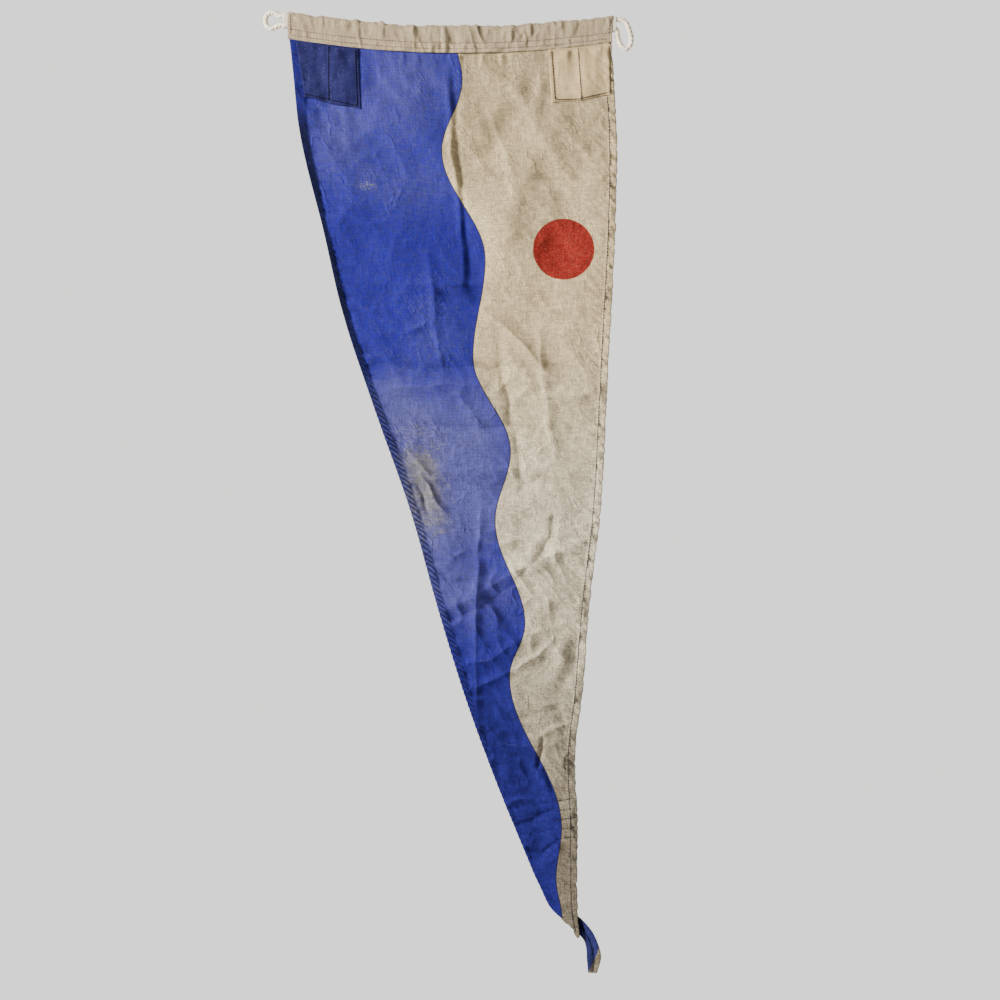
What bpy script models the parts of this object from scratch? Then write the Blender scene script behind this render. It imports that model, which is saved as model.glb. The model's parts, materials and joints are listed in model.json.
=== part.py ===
"""Long triangular signal pennant, hung by its canvas heading: X across the hoist, +Z up, the front faces -Y.
The origin is the middle of the heading's flat back face. The cloth is cut at the fold lines where it bends."""

import math

import bmesh
import bpy
from mathutils import Vector

# Heading: a canvas sleeve with a rope inside it, sagging a little between its held ends.
HOIST_WIDTH = 0.360
HEADING_HEIGHT = 0.028
CANVAS_WALL = 0.0008
HEADING_SAG = 0.014
HEADING_TILT = 0.004
HEADING_STEPS = 17

# Rope and the loops at both ends of the heading.
ROPE_DIAMETER = 0.0055
SEIZING_LENGTH = 0.0035
SEIZING_HEIGHT = 0.018
SEIZING_WALL = 0.0012
LEFT_LOOP_LENGTH = 0.0235
LEFT_LOOP_HEIGHT = 0.0235
RIGHT_LOOP_REACH = 0.0222
RIGHT_LOOP_DROP = 0.030

# Cloth: one printed cotton cloth from the heading's seam down to the squared tail.
CLOTH_THICKNESS = 0.001
CLOTH_LENGTH = 0.972
TAIL_LENGTH = 0.048
FOLD_SHARES = (0.264, 0.543, 0.806)  # where the hanging cloth bends, as shares of its length
EDGE_STEP = 0.016

# How far each edge stands from the hoist's left corner, as a share of its width, going down the cloth.
LEFT_EDGE = (
    (0.00, 0.006), (0.10, 0.042), (0.20, 0.109), (0.30, 0.172), (0.41, 0.271), (0.52, 0.376), (0.63, 0.460),
    (0.73, 0.543), (0.82, 0.631), (0.90, 0.719), (0.96, 0.792), (1.00, 0.877),
)
RIGHT_EDGE = (
    (0.00, 0.997), (0.10, 1.014), (0.20, 1.010), (0.30, 0.996), (0.41, 0.981), (0.52, 0.964), (0.63, 0.930),
    (0.73, 0.908), (0.80, 0.886), (0.88, 0.893), (0.96, 0.891), (1.00, 0.897),
)

# Sewn-on pieces.
HEM_WIDTH = 0.009
PATCH_THICKNESS = 0.001
LEFT_PATCH_WIDTH = 0.067
LEFT_PATCH_HEIGHT = 0.062
RIGHT_PATCH_WIDTH = 0.062
RIGHT_PATCH_HEIGHT = 0.058
PATCH_SEAM_GAP = 0.004
THREAD_DIAMETER = 0.0008
SEAM_ROW_RISES = (0.0035, 0.0085)  # rows of stitching above the heading's lower edge
TIP_ROWS = 5
TIP_ROW_SPACING = 0.0108
TIP_ROW_START = 0.8505

# Clearances.
TOUCH_GAP = 0.0003
FOLD_GAP = 0.0012
ROPE_SLEEVE_CLEARANCE = 0.00045
ROPE_END_RECESS = 0.001

HALF_WIDTH = HOIST_WIDTH / 2
HEADING_THICKNESS = ROPE_DIAMETER + 2 * (CANVAS_WALL + ROPE_SLEEVE_CLEARANCE)
HEADING_MID_Y = -HEADING_THICKNESS / 2
CLOTH_FRONT_Y = HEADING_MID_Y - CLOTH_THICKNESS / 2
ROPE_RADIUS = ROPE_DIAMETER / 2
ROPE_RISE = (HEADING_HEIGHT - HEADING_THICKNESS) / 2  # centre of the sleeve's round upper fold
SEAM_DEPTH = HEADING_HEIGHT / 2 + FOLD_GAP
COLLECTION_NAME = "signal_pennant"


def clear_scene():
    for item in list(bpy.data.objects):
        bpy.data.objects.remove(item, do_unlink=True)


def make_collection(name):
    collection = bpy.data.collections.new(name)
    bpy.context.scene.collection.children.link(collection)
    return collection


def make_material(name, color, roughness, metallic=0.0):
    material = bpy.data.materials.new(name)
    material.use_nodes = True
    shader = material.node_tree.nodes["Principled BSDF"]
    shader.inputs["Base Color"].default_value = (*color, 1.0)
    shader.inputs["Roughness"].default_value = roughness
    shader.inputs["Metallic"].default_value = metallic
    return material


def heading_height_at(x):
    """Height of the heading's centre line: a shallow sag with a slight tilt, level with the origin at x = 0."""
    share = x / HALF_WIDTH
    return HEADING_SAG * share * share - HEADING_TILT * share / 2


def seam_at(x):
    """Height of the cloth's upper edge, just under the heading."""
    return heading_height_at(x) - SEAM_DEPTH


def along_table(table, share):
    """Smooth value between a table's (share, value) points."""
    last = len(table) - 1
    i = 0
    while i < last - 1 and share > table[i + 1][0]:
        i += 1
    x0, y0 = table[i]
    x1, y1 = table[i + 1]
    before = table[max(i - 1, 0)]
    after = table[min(i + 2, last)]
    slope0 = (y1 - before[1]) / (x1 - before[0])
    slope1 = (after[1] - y0) / (after[0] - x0)
    t = (share - x0) / (x1 - x0)
    step = x1 - x0
    return (
        (2 * t**3 - 3 * t**2 + 1) * y0
        + (t**3 - 2 * t**2 + t) * step * slope0
        + (3 * t**2 - 2 * t**3) * y1
        + (t**3 - t**2) * step * slope1
    )


def cloth_height(share):
    """Height of a level line across the cloth, at a share of the way down from the seam at x = 0."""
    return -SEAM_DEPTH - share * CLOTH_LENGTH


def share_at(height):
    return min(1.0, max(0.0, (-SEAM_DEPTH - height) / CLOTH_LENGTH))


def left_edge(height):
    return -HALF_WIDTH + HOIST_WIDTH * along_table(LEFT_EDGE, share_at(height))


def right_edge(height):
    return -HALF_WIDTH + HOIST_WIDTH * along_table(RIGHT_EDGE, share_at(height))


def new_curve(name, points, dimensions="3D", cyclic=False):
    curve = bpy.data.curves.new(name, "CURVE")
    curve.dimensions = dimensions
    spline = curve.splines.new("POLY")
    spline.points.add(len(points) - 1)
    for spot, point in zip(spline.points, points):
        spot.co = (*point, 1.0) if len(point) == 3 else (point[0], point[1], 0.0, 1.0)
    spline.use_cyclic_u = cyclic
    return curve


def link(name, data, collection, material):
    item = bpy.data.objects.new(name, data)
    collection.objects.link(item)
    item.data.materials.append(material)
    return item


def as_mesh(item, collection):
    """The curve object's shape as a welded mesh object with the same name and place."""
    graph = bpy.context.evaluated_depsgraph_get()
    graph.update()
    mesh = bpy.data.meshes.new_from_object(item.evaluated_get(graph))
    made = bmesh.new()
    made.from_mesh(mesh)
    bmesh.ops.remove_doubles(made, verts=made.verts, dist=0.00001)
    made.to_mesh(mesh)
    made.free()
    name = item.name
    matrix = item.matrix_world.copy()
    bpy.data.objects.remove(item, do_unlink=True)
    mesh.name = name
    solid = bpy.data.objects.new(name, mesh)
    solid.matrix_world = matrix
    collection.objects.link(solid)
    return solid


def flat_piece(name, outline, thickness, mid_y, pivot, collection, material):
    """A flat piece of cloth standing in the XZ plane, with its origin on its joint's axis. The outline is (x, z)."""
    local = [(x - pivot[0], z - pivot[2]) for x, z in outline]
    curve = new_curve(name, local, dimensions="2D", cyclic=True)
    curve.fill_mode = "BOTH"
    curve.extrude = thickness / 2
    item = link(name, curve, collection, material)
    item.rotation_euler = (math.radians(90), 0.0, 0.0)
    item.location = (pivot[0], mid_y, pivot[2])
    bpy.context.view_layer.update()
    return as_mesh(item, collection)


def round_piece(name, points, diameter, pivot, collection, material, sides=2):
    """A rope or a thread: a round tube with closed ends through the points."""
    local = [Vector(point) - Vector(pivot) for point in points]
    curve = new_curve(name, [tuple(point) for point in local])
    curve.bevel_depth = diameter / 2
    curve.bevel_resolution = sides
    curve.use_fill_caps = True
    curve.twist_mode = "MINIMUM"
    item = link(name, curve, collection, material)
    item.location = pivot
    return item


def smooth_route(points, steps):
    """Points read from a smooth curve through a route's own points."""
    route = [Vector(point) for point in points]
    made = []
    for i in range(len(route) - 1):
        before = route[max(i - 1, 0)]
        after = route[min(i + 2, len(route) - 1)]
        start = route[i]
        end = route[i + 1]
        lead_out = (end - before) / 2
        lead_in = (after - start) / 2
        for k in range(steps):
            t = k / steps
            made.append(
                start * (2 * t**3 - 3 * t**2 + 1)
                + lead_out * (t**3 - 2 * t**2 + t)
                + end * (3 * t**2 - 2 * t**3)
                + lead_in * (t**3 - t**2)
            )
    made.append(route[-1])
    return [tuple(point) for point in made]


def sleeve_section():
    """Outline of the sleeve across its run: tall flat sides with round folds at the top and the bottom."""
    radius = HEADING_THICKNESS / 2
    side = HEADING_HEIGHT / 2 - radius
    fold_steps = 6
    points = []
    for k in range(fold_steps + 1):
        angle = math.pi * k / fold_steps
        points.append((radius * math.cos(angle), side + radius * math.sin(angle)))
    for k in range(fold_steps + 1):
        angle = math.pi + math.pi * k / fold_steps
        points.append((radius * math.cos(angle), -side + radius * math.sin(angle)))
    return points


def heading_line(rise, inset, y, steps=HEADING_STEPS):
    """Points along the heading at a height above its centre line, short of each end by the inset."""
    reach = HALF_WIDTH - inset
    points = []
    for k in range(steps + 1):
        x = -reach + 2 * reach * k / steps
        points.append((x, y, heading_height_at(x) + rise))
    return points


def make_heading_sleeve(collection, guides, material):
    section = link(
        "sleeve_section_guide", new_curve("sleeve_section_guide", sleeve_section(), "2D", True), guides, material
    )
    section.hide_render = True
    section.display_type = "WIRE"
    level = [(x, y, 0.0) for x, y, z in heading_line(0.0, 0.0, HEADING_MID_Y)]
    curve = new_curve("heading_sleeve", level)
    curve.bevel_mode = "OBJECT"
    curve.bevel_object = section
    curve.twist_mode = "MINIMUM"
    item = link("heading_sleeve", curve, collection, material)
    sleeve = as_mesh(item, collection)
    wall = sleeve.modifiers.new("canvas", "SOLIDIFY")
    wall.thickness = CANVAS_WALL
    wall.offset = 1.0
    wall.use_even_offset = True
    sleeve = as_mesh(sleeve, collection)
    for vertex in sleeve.data.vertices:  # sagging this way keeps both ends upright
        vertex.co.z += heading_height_at(vertex.co.x)
    return sleeve


def make_hoist_rope(collection, material):
    points = heading_line(ROPE_RISE, ROPE_END_RECESS, HEADING_MID_Y)
    return round_piece("hoist_rope", points, ROPE_DIAMETER, (0, 0, 0), collection, material, sides=3)


def make_seizing(name, side, collection, material):
    """The thread binding at the loop's throat: a flat oval block at the sleeve's mouth."""
    centre_x = side * (HALF_WIDTH + TOUCH_GAP + SEIZING_LENGTH / 2)
    centre_z = loop_height(side)
    bpy.ops.mesh.primitive_cube_add(size=1.0, location=(centre_x, HEADING_MID_Y, centre_z))
    item = bpy.context.object
    item.name = name
    item.data.name = name
    width = ROPE_DIAMETER + 2 * SEIZING_WALL
    item.scale = (SEIZING_LENGTH, width, SEIZING_HEIGHT)
    bpy.ops.object.transform_apply(location=False, rotation=False, scale=True)
    for owner in list(item.users_collection):
        owner.objects.unlink(item)
    collection.objects.link(item)
    rounding = item.modifiers.new("rounding", "BEVEL")
    rounding.width = SEIZING_WALL
    rounding.segments = 3
    item.data.materials.append(material)
    return item


def loop_height(side):
    """Height of a loop's throat: its upper leg is level with the rope in the sleeve."""
    return heading_height_at(side * HALF_WIDTH) + ROPE_RISE - SEIZING_HEIGHT / 2 + ROPE_RADIUS + SEIZING_WALL


def loop_pivot(side):
    """A point on the upright axis about which a loop swings to the front and back."""
    x = HALF_WIDTH + TOUCH_GAP + SEIZING_LENGTH + TOUCH_GAP + ROPE_RADIUS
    return (side * x, HEADING_MID_Y, loop_height(side))


def make_left_loop(collection, material):
    pivot = loop_pivot(-1)
    leg = (SEIZING_HEIGHT - ROPE_DIAMETER) / 2 - SEIZING_WALL
    reach = LEFT_LOOP_LENGTH - ROPE_RADIUS * 2
    rise = LEFT_LOOP_HEIGHT / 2 - ROPE_RADIUS
    shape = (
        (0.00, leg), (0.20, leg * 1.15), (0.52, rise * 0.97), (0.80, rise * 0.86), (0.97, rise * 0.45),
        (1.00, 0.0), (0.97, -rise * 0.45), (0.80, -rise * 0.84), (0.52, -rise * 0.95), (0.20, -leg * 1.12),
        (0.00, -leg),
    )
    points = [(pivot[0] - reach * out, pivot[1], pivot[2] + up) for out, up in shape]
    return round_piece("left_loop", smooth_route(points, 3), ROPE_DIAMETER, pivot, collection, material, sides=3)


def make_right_loop(collection, material):
    pivot = loop_pivot(1)
    leg = (SEIZING_HEIGHT - ROPE_DIAMETER) / 2 - SEIZING_WALL
    reach = RIGHT_LOOP_REACH - ROPE_RADIUS * 2
    drop = RIGHT_LOOP_DROP - ROPE_RADIUS
    shape = (
        (0.00, leg), (0.30, leg * 0.95), (0.68, leg * 0.20), (0.90, -drop * 0.30), (1.00, -drop * 0.58),
        (0.92, -drop * 0.86), (0.64, -drop * 1.00), (0.32, -drop * 0.86), (0.14, -drop * 0.60),
        (0.07, -drop * 0.36), (0.00, -leg),
    )
    points = [(pivot[0] + reach * out, pivot[1], pivot[2] + up) for out, up in shape]
    return round_piece("right_loop", smooth_route(points, 3), ROPE_DIAMETER, pivot, collection, material, sides=3)


def make_seam_thread(name, rise, collection, material):
    y = -HEADING_THICKNESS - TOUCH_GAP - THREAD_DIAMETER / 2
    points = heading_line(rise - HEADING_HEIGHT / 2, HEM_WIDTH / 3, y)
    return round_piece(name, points, THREAD_DIAMETER, (0, 0, 0), collection, material, sides=1)


def level_heights(top, bottom):
    """Evenly spaced heights from top to bottom, about EDGE_STEP apart."""
    steps = max(2, round((top - bottom) / EDGE_STEP))
    return [top + (bottom - top) * k / steps for k in range(steps + 1)]


def cloth_outline(top, bottom, seam=False):
    """Outline of one stretch of the cloth between two heights. The first stretch follows the sagging seam."""
    if seam:
        reach = HALF_WIDTH
        across = HEADING_STEPS
        upper = [(-reach + 2 * reach * k / across) for k in range(across + 1)]
        points = [(x, seam_at(x)) for x in upper]
        points[-1] = (right_edge(top), seam_at(HALF_WIDTH))
        heights = level_heights(top, bottom)[1:]
    else:
        points = []
        heights = level_heights(top, bottom)
    points += [(right_edge(z), z) for z in heights]
    points += [(left_edge(z), z) for z in reversed(heights)]
    return points


def make_cloth(collection, material):
    names = ("fly_upper", "fly_middle", "fly_lower", "fly_end")
    folds = [cloth_height(0.0)] + [cloth_height(share) for share in FOLD_SHARES]
    made = []
    for i, name in enumerate(names):
        top = folds[i] if i == 0 else folds[i] - FOLD_GAP / 2
        bottom = folds[i + 1] + FOLD_GAP / 2 if i + 1 < len(folds) else cloth_height(1.0)
        outline = cloth_outline(top, bottom, seam=(i == 0))
        pivot = (0.0, HEADING_MID_Y, folds[i] + (FOLD_GAP / 2 if i == 0 else 0.0))
        made.append(flat_piece(name, outline, CLOTH_THICKNESS, HEADING_MID_Y, pivot, collection, material))
    return made


def make_tail(collection, material):
    """The squared tail, which hangs turned half round about the upright twist line above it."""
    top = cloth_height(1.0) - FOLD_GAP
    twist_x = (left_edge(top) + right_edge(top)) / 2 + TAIL_LENGTH * 0.04
    shape = ((0.02, 0.00), (0.12, 0.00), (0.33, 0.26), (0.34, 0.50), (0.32, 1.00), (0.14, 1.00), (0.08, 0.72))
    outline = [(twist_x + TAIL_LENGTH * out, top - TAIL_LENGTH * down) for out, down in shape]
    return flat_piece("fly_tail", outline, CLOTH_THICKNESS, HEADING_MID_Y, (twist_x, HEADING_MID_Y, top),
                      collection, material)


def make_patches(collection, left_material, right_material):
    mid_y = CLOTH_FRONT_Y - TOUCH_GAP - PATCH_THICKNESS / 2
    steps = 4

    def patch_outline(outer, inner, height):
        upper = [outer + (inner - outer) * k / steps for k in range(steps + 1)]
        points = [(x, seam_at(x) - PATCH_SEAM_GAP) for x in upper]
        foot = seam_at(inner) - PATCH_SEAM_GAP - height
        points.append((inner, foot))
        return points, foot

    left_outer = left_edge(cloth_height(0.0)) + HEM_WIDTH
    left_inner = left_outer + LEFT_PATCH_WIDTH
    points, foot = patch_outline(left_outer, left_inner, LEFT_PATCH_HEIGHT)
    points.append((left_edge(foot) + HEM_WIDTH, foot + LEFT_PATCH_HEIGHT * 0.22))
    left = flat_piece("left_corner_patch", points, PATCH_THICKNESS, mid_y, (0, mid_y, 0), collection, left_material)

    right_outer = right_edge(cloth_height(0.0)) - HEM_WIDTH
    right_inner = right_outer - RIGHT_PATCH_WIDTH
    points, foot = patch_outline(right_outer, right_inner, RIGHT_PATCH_HEIGHT)
    points.append((right_edge(foot) - HEM_WIDTH, foot + RIGHT_PATCH_HEIGHT * 0.16))
    right = flat_piece("right_corner_patch", points, PATCH_THICKNESS, mid_y, (0, mid_y, 0), collection, right_material)
    return left, right


def make_tip_stitching(collection, material):
    y = CLOTH_FRONT_Y - TOUCH_GAP - THREAD_DIAMETER / 2
    made = []
    for row in range(TIP_ROWS):
        height = cloth_height(TIP_ROW_START) - row * TIP_ROW_SPACING
        end = right_edge(height) - THREAD_DIAMETER
        start = left_edge(height) + (right_edge(height) - left_edge(height)) * 0.66
        points = [(start, y, height), ((start + end) / 2, y, height), (end, y, height)]
        name = f"tip_stitching_{row + 1}"
        made.append(round_piece(name, points, THREAD_DIAMETER, (0, 0, 0), collection, material, sides=1))
    return made


def main():
    clear_scene()
    pennant = make_collection(COLLECTION_NAME)
    guides = make_collection("guides")
    canvas = make_material("natural_canvas", (0.60, 0.54, 0.42), 0.90)
    rope = make_material("cotton_rope", (0.66, 0.62, 0.54), 0.85)
    thread = make_material("dark_thread", (0.06, 0.06, 0.08), 0.75)
    printed = make_material("printed_cotton", (0.10, 0.14, 0.42), 0.88)
    blue = make_material("blue_patch_cotton", (0.05, 0.07, 0.26), 0.88)
    cream = make_material("cream_patch_cotton", (0.58, 0.53, 0.40), 0.90)

    make_heading_sleeve(pennant, guides, canvas)
    make_hoist_rope(pennant, rope)
    make_seizing("left_loop_seizing", -1, pennant, thread)
    make_seizing("right_loop_seizing", 1, pennant, thread)
    make_left_loop(pennant, rope)
    make_right_loop(pennant, rope)
    for number, rise in enumerate(SEAM_ROW_RISES, start=1):
        make_seam_thread(f"heading_seam_thread_{number}", rise, pennant, thread)
    make_cloth(pennant, printed)
    make_tail(pennant, printed)
    make_patches(pennant, blue, cream)
    make_tip_stitching(pennant, thread)


main()
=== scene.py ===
import json
import math
import bpy
import numpy as np
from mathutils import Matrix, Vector

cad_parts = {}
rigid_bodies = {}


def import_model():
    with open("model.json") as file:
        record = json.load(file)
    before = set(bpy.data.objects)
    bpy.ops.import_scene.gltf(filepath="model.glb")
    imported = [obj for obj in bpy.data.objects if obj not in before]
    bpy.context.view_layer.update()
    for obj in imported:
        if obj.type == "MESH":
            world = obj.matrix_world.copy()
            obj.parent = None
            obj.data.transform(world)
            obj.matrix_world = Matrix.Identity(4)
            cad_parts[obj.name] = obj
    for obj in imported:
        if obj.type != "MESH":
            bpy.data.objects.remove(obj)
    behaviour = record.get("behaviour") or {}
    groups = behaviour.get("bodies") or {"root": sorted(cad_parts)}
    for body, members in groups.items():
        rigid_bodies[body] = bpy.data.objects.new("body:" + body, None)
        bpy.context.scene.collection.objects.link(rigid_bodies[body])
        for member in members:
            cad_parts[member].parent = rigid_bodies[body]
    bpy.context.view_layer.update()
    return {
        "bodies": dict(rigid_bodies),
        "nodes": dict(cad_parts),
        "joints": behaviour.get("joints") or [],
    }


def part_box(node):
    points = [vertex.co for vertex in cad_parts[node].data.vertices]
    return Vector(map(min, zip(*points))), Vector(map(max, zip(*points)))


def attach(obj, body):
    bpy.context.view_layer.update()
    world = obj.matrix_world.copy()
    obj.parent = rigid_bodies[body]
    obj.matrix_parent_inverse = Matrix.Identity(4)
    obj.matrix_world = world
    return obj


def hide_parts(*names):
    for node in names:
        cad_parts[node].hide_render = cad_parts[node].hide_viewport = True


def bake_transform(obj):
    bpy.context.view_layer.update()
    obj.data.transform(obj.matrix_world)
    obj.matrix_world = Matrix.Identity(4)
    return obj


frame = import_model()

wanted = set(frame["nodes"].values()) | set(frame["bodies"].values())
for spare in [item for item in bpy.data.objects if item not in wanted]:
    bpy.data.objects.remove(spare)


# camera, square on to the front of the pennant
camera = {"x": 0.0555, "z": -0.5105, "distance": 2.6, "lens": 84.3}
cameraData = bpy.data.cameras.new("frontCamera")
cameraData.lens = camera["lens"]
cameraItem = bpy.data.objects.new("frontCamera", cameraData)
cameraItem.location = (camera["x"], -camera["distance"], camera["z"])
cameraItem.rotation_euler = (math.pi / 2, 0, 0)
bpy.context.scene.collection.objects.link(cameraItem)
bpy.context.scene.camera = cameraItem


# small helpers for shapes

def smooth(low, high, value):
    share = np.clip((value - low) / (high - low), 0.0, 1.0)
    return share * share * (3 - 2 * share)


def ripple(u, v, seed):
    # smooth random hills from -1 to 1, about one to a unit of u and of v
    lattice = np.random.default_rng(seed).uniform(-1, 1, (97, 97))
    i = np.floor(u).astype(int)
    j = np.floor(v).astype(int)
    fu = smooth(0, 1, u - i)
    fv = smooth(0, 1, v - j)
    low = lattice[i % 97, j % 97] * (1 - fu) + lattice[(i + 1) % 97, j % 97] * fu
    high = lattice[i % 97, (j + 1) % 97] * (1 - fu) + lattice[(i + 1) % 97, (j + 1) % 97] * fu
    return low * (1 - fv) + high * fv


def reach(x, z, points):
    # distance to a line through the points, and the share of the way along it
    best = np.full(x.shape, 1e9)
    along = np.zeros(x.shape)
    lengths = [math.dist(a, b) for a, b in zip(points, points[1:])]
    done = 0.0
    for (ax, az), (bx, bz), length in zip(points, points[1:], lengths):
        t = np.clip(((x - ax) * (bx - ax) + (z - az) * (bz - az)) / length ** 2, 0, 1)
        away = np.hypot(x - ax - t * (bx - ax), z - az - t * (bz - az))
        near = away < best
        best = np.where(near, away, best)
        along = np.where(near, (done + t * length) / sum(lengths), along)
        done += length
    return best, along


def smoothLine(points, steps):
    # a curve through the points
    points = np.array(points, float)
    ends = np.vstack([2 * points[0] - points[1], points, 2 * points[-1] - points[-2]])
    t = np.linspace(0, 1, steps, endpoint=False)[:, None]
    made = []
    for a, b, c, d in zip(ends, ends[1:], ends[2:], ends[3:]):
        made.append(b + 0.5 * t * (c - a + t * (2 * a - 5 * b + 4 * c - d + t * (3 * (b - c) + d - a))))
    return np.vstack(made + [points[-1:]])


def evenly(path, step):
    # the same path with points about one step apart
    along = np.concatenate([[0], np.cumsum(np.linalg.norm(np.diff(path, axis=0), axis=1))])
    wanted = np.linspace(0, along[-1], max(2, round(along[-1] / step) + 1))
    return np.stack([np.interp(wanted, along, path[:, k]) for k in range(3)], axis=1), wanted


def sweep(path, section, start=0):
    # rings carried along a path; section gives the ring's offsets at each point
    tangent = np.gradient(path, axis=0)
    tangent /= np.linalg.norm(tangent, axis=1)[:, None]
    side = np.cross(tangent[0], (0.123, 1.0, 0.077))
    verts = []
    for k, t in enumerate(tangent):
        side = side - t * (side @ t)
        side /= np.linalg.norm(side)
        up = np.cross(t, side)
        ring = section(k)
        verts += [tuple(path[k] + side * a + up * b) for a, b in ring]
    count = len(ring)
    faces = []
    for k in range(len(path) - 1):
        for j in range(count):
            a = start + k * count + j
            b = start + k * count + (j + 1) % count
            faces.append((a, b, b + count, a + count))
    faces.append(tuple(start + j for j in reversed(range(count))))
    faces.append(tuple(start + (len(path) - 1) * count + j for j in range(count)))
    return verts, faces


def roundSection(radius, sides):
    turns = np.linspace(0, 2 * math.pi, sides, endpoint=False)
    ring = [(radius * math.cos(t), radius * math.sin(t)) for t in turns]
    return lambda k: ring


def gridFaces(rows, columns, start=0, flip=False):
    faces = []
    for r in range(rows - 1):
        for c in range(columns - 1):
            a = start + r * columns + c
            face = (a, a + columns, a + columns + 1, a + 1)
            faces.append(face[::-1] if flip else face)
    return faces


def gridNormals(points):
    down = np.gradient(points, axis=0)
    across = np.gradient(points, axis=1)
    normals = np.cross(down, across)
    return normals / np.maximum(np.linalg.norm(normals, axis=2), 1e-12)[:, :, None]


def makePiece(name, verts, faces, material, lay=None):
    mesh = bpy.data.meshes.new(name)
    mesh.from_pydata([tuple(v) for v in verts], [], faces)
    mesh.update()
    mesh.polygons.foreach_set("use_smooth", [True] * len(mesh.polygons))
    mesh.materials.append(material)
    item = bpy.data.objects.new(name, mesh)
    bpy.context.scene.collection.objects.link(item)
    addField(item, "lay", lay if lay is not None else np.array(verts)[:, [0, 2, 1]])
    return item


def addField(item, name, values):
    field = item.data.attributes.new(name, "FLOAT_VECTOR", "POINT")
    field.data.foreach_set("vector", np.ascontiguousarray(values, dtype=np.float32).ravel())


def thickPiece(name, points, thickness, material, lay=None):
    # a closed shell from a grid of middle points, its borders closed by a band of faces
    rows, columns = points.shape[:2]
    normals = gridNormals(points)
    front = points + normals * thickness / 2
    back = points - normals * thickness / 2
    verts = np.vstack([front.reshape(-1, 3), back.reshape(-1, 3)])
    count = rows * columns
    faces = gridFaces(rows, columns) + gridFaces(rows, columns, count, True)
    rim = [c for c in range(columns)] + [r * columns + columns - 1 for r in range(1, rows)]
    rim += [(rows - 1) * columns + c for c in range(columns - 2, -1, -1)]
    rim += [r * columns for r in range(rows - 2, 0, -1)]
    for a, b in zip(rim, rim[1:] + rim[:1]):
        faces.append((a, b, b + count, a + count))
    if lay is not None:
        lay = np.vstack([lay.reshape(-1, 3), lay.reshape(-1, 3)])
    return makePiece(name, verts, faces, material, lay)


# shader sums, written as ordinary arithmetic

class Strand:
    def __init__(self, tree, socket=None):
        self.tree = tree
        self.socket = socket

    def node(self, kind, settings=None, values=None, out=0):
        made = self.tree.nodes.new("ShaderNode" + kind)
        for key, value in (settings or {}).items():
            setattr(made, key, value)
        for key, value in (values or {}).items():
            if isinstance(value, Strand):
                self.tree.links.new(value.socket, made.inputs[key])
            else:
                made.inputs[key].default_value = value
        return Strand(self.tree, made.outputs[out])

    def sum(self, operation, *terms, clamp=False):
        return self.node("Math", {"operation": operation, "use_clamp": clamp}, dict(enumerate(terms)))

    def __add__(self, other):
        return self.sum("ADD", self, other)

    def __sub__(self, other):
        return self.sum("SUBTRACT", self, other)

    def __mul__(self, other):
        return self.sum("MULTIPLY", self, other)

    def __truediv__(self, other):
        return self.sum("DIVIDE", self, other)

    def __radd__(self, other):
        return self.sum("ADD", other, self)

    def __rsub__(self, other):
        return self.sum("SUBTRACT", other, self)

    def __rmul__(self, other):
        return self.sum("MULTIPLY", other, self)

    def __rtruediv__(self, other):
        return self.sum("DIVIDE", other, self)

    def __neg__(self):
        return self.sum("MULTIPLY", self, -1.0)

    def __abs__(self):
        return self.sum("ABSOLUTE", self)

    def clamp(self):
        return self.sum("ADD", self, 0.0, clamp=True)

    def ramp(self, low, high):
        values = {"Value": self, "From Min": low, "From Max": high}
        return self.node("MapRange", {"interpolation_type": "SMOOTHSTEP"}, values)

    def over(self, base, top):
        # base where this is 0 and top where it is 1, both colours
        return self.node("Mix", {"data_type": "RGBA"}, {0: self, 6: base, 7: top}, 2)

    def shaded(self, colour, share):
        # colour darkened by share where this is 1
        values = {0: self * share, 6: colour, 7: (0.0, 0.0, 0.0, 1.0)}
        return self.node("Mix", {"data_type": "RGBA"}, values, 2)

    def field(self, name):
        return self.node("Attribute", {"attribute_name": name}, out=1)

    def split(self):
        parts = self.tree.nodes.new("ShaderNodeSeparateXYZ")
        self.tree.links.new(self.socket, parts.inputs[0])
        return [Strand(self.tree, socket) for socket in parts.outputs]

    def joined(self, x, y, z=0.0):
        return self.node("CombineXYZ", values={0: x, 1: y, 2: z})

    def cloud(self, place, scale, detail=3.0, roughness=0.55):
        values = {"Vector": place, "Scale": scale, "Detail": detail, "Roughness": roughness}
        return self.node("TexNoise", values=values)


def newMaterial(name):
    made = bpy.data.materials.new(name)
    made.use_nodes = True
    tree = made.node_tree
    shader = next(node for node in tree.nodes if node.type == "BSDF_PRINCIPLED")
    return made, tree, shader, Strand(tree)


def finishMaterial(tree, shader, colour, roughness, bump):
    tree.links.new(colour.socket, shader.inputs["Base Color"])
    tree.links.new(roughness.socket, shader.inputs["Roughness"])
    tree.links.new(bump.socket, shader.inputs["Normal"])
    shader.inputs["Specular IOR Level"].default_value = 0.12


def weave(base, x, z, pitch):
    # over and under threads of a plain weave, about 0 to 1, with slubs
    turn = 2 * math.pi / pitch
    warp = base.sum("SINE", x * turn)
    weft = base.sum("SINE", z * turn)
    sign = base.sum("SIGN", base.sum("SINE", x * (turn / 2)) * base.sum("SINE", z * (turn / 2)))
    over = (sign * 0.5 + 0.5) * abs(warp) + (0.5 - sign * 0.5) * abs(weft)
    slubAcross = base.cloud(base.joined(x * 60.0, z * 700.0), 1.0, 3.0)
    slubDown = base.cloud(base.joined(x * 700.0, z * 60.0), 1.0, 3.0)
    return over, slubAcross + slubDown - 1.0


# the shape of the pennant, read from the frame

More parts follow.
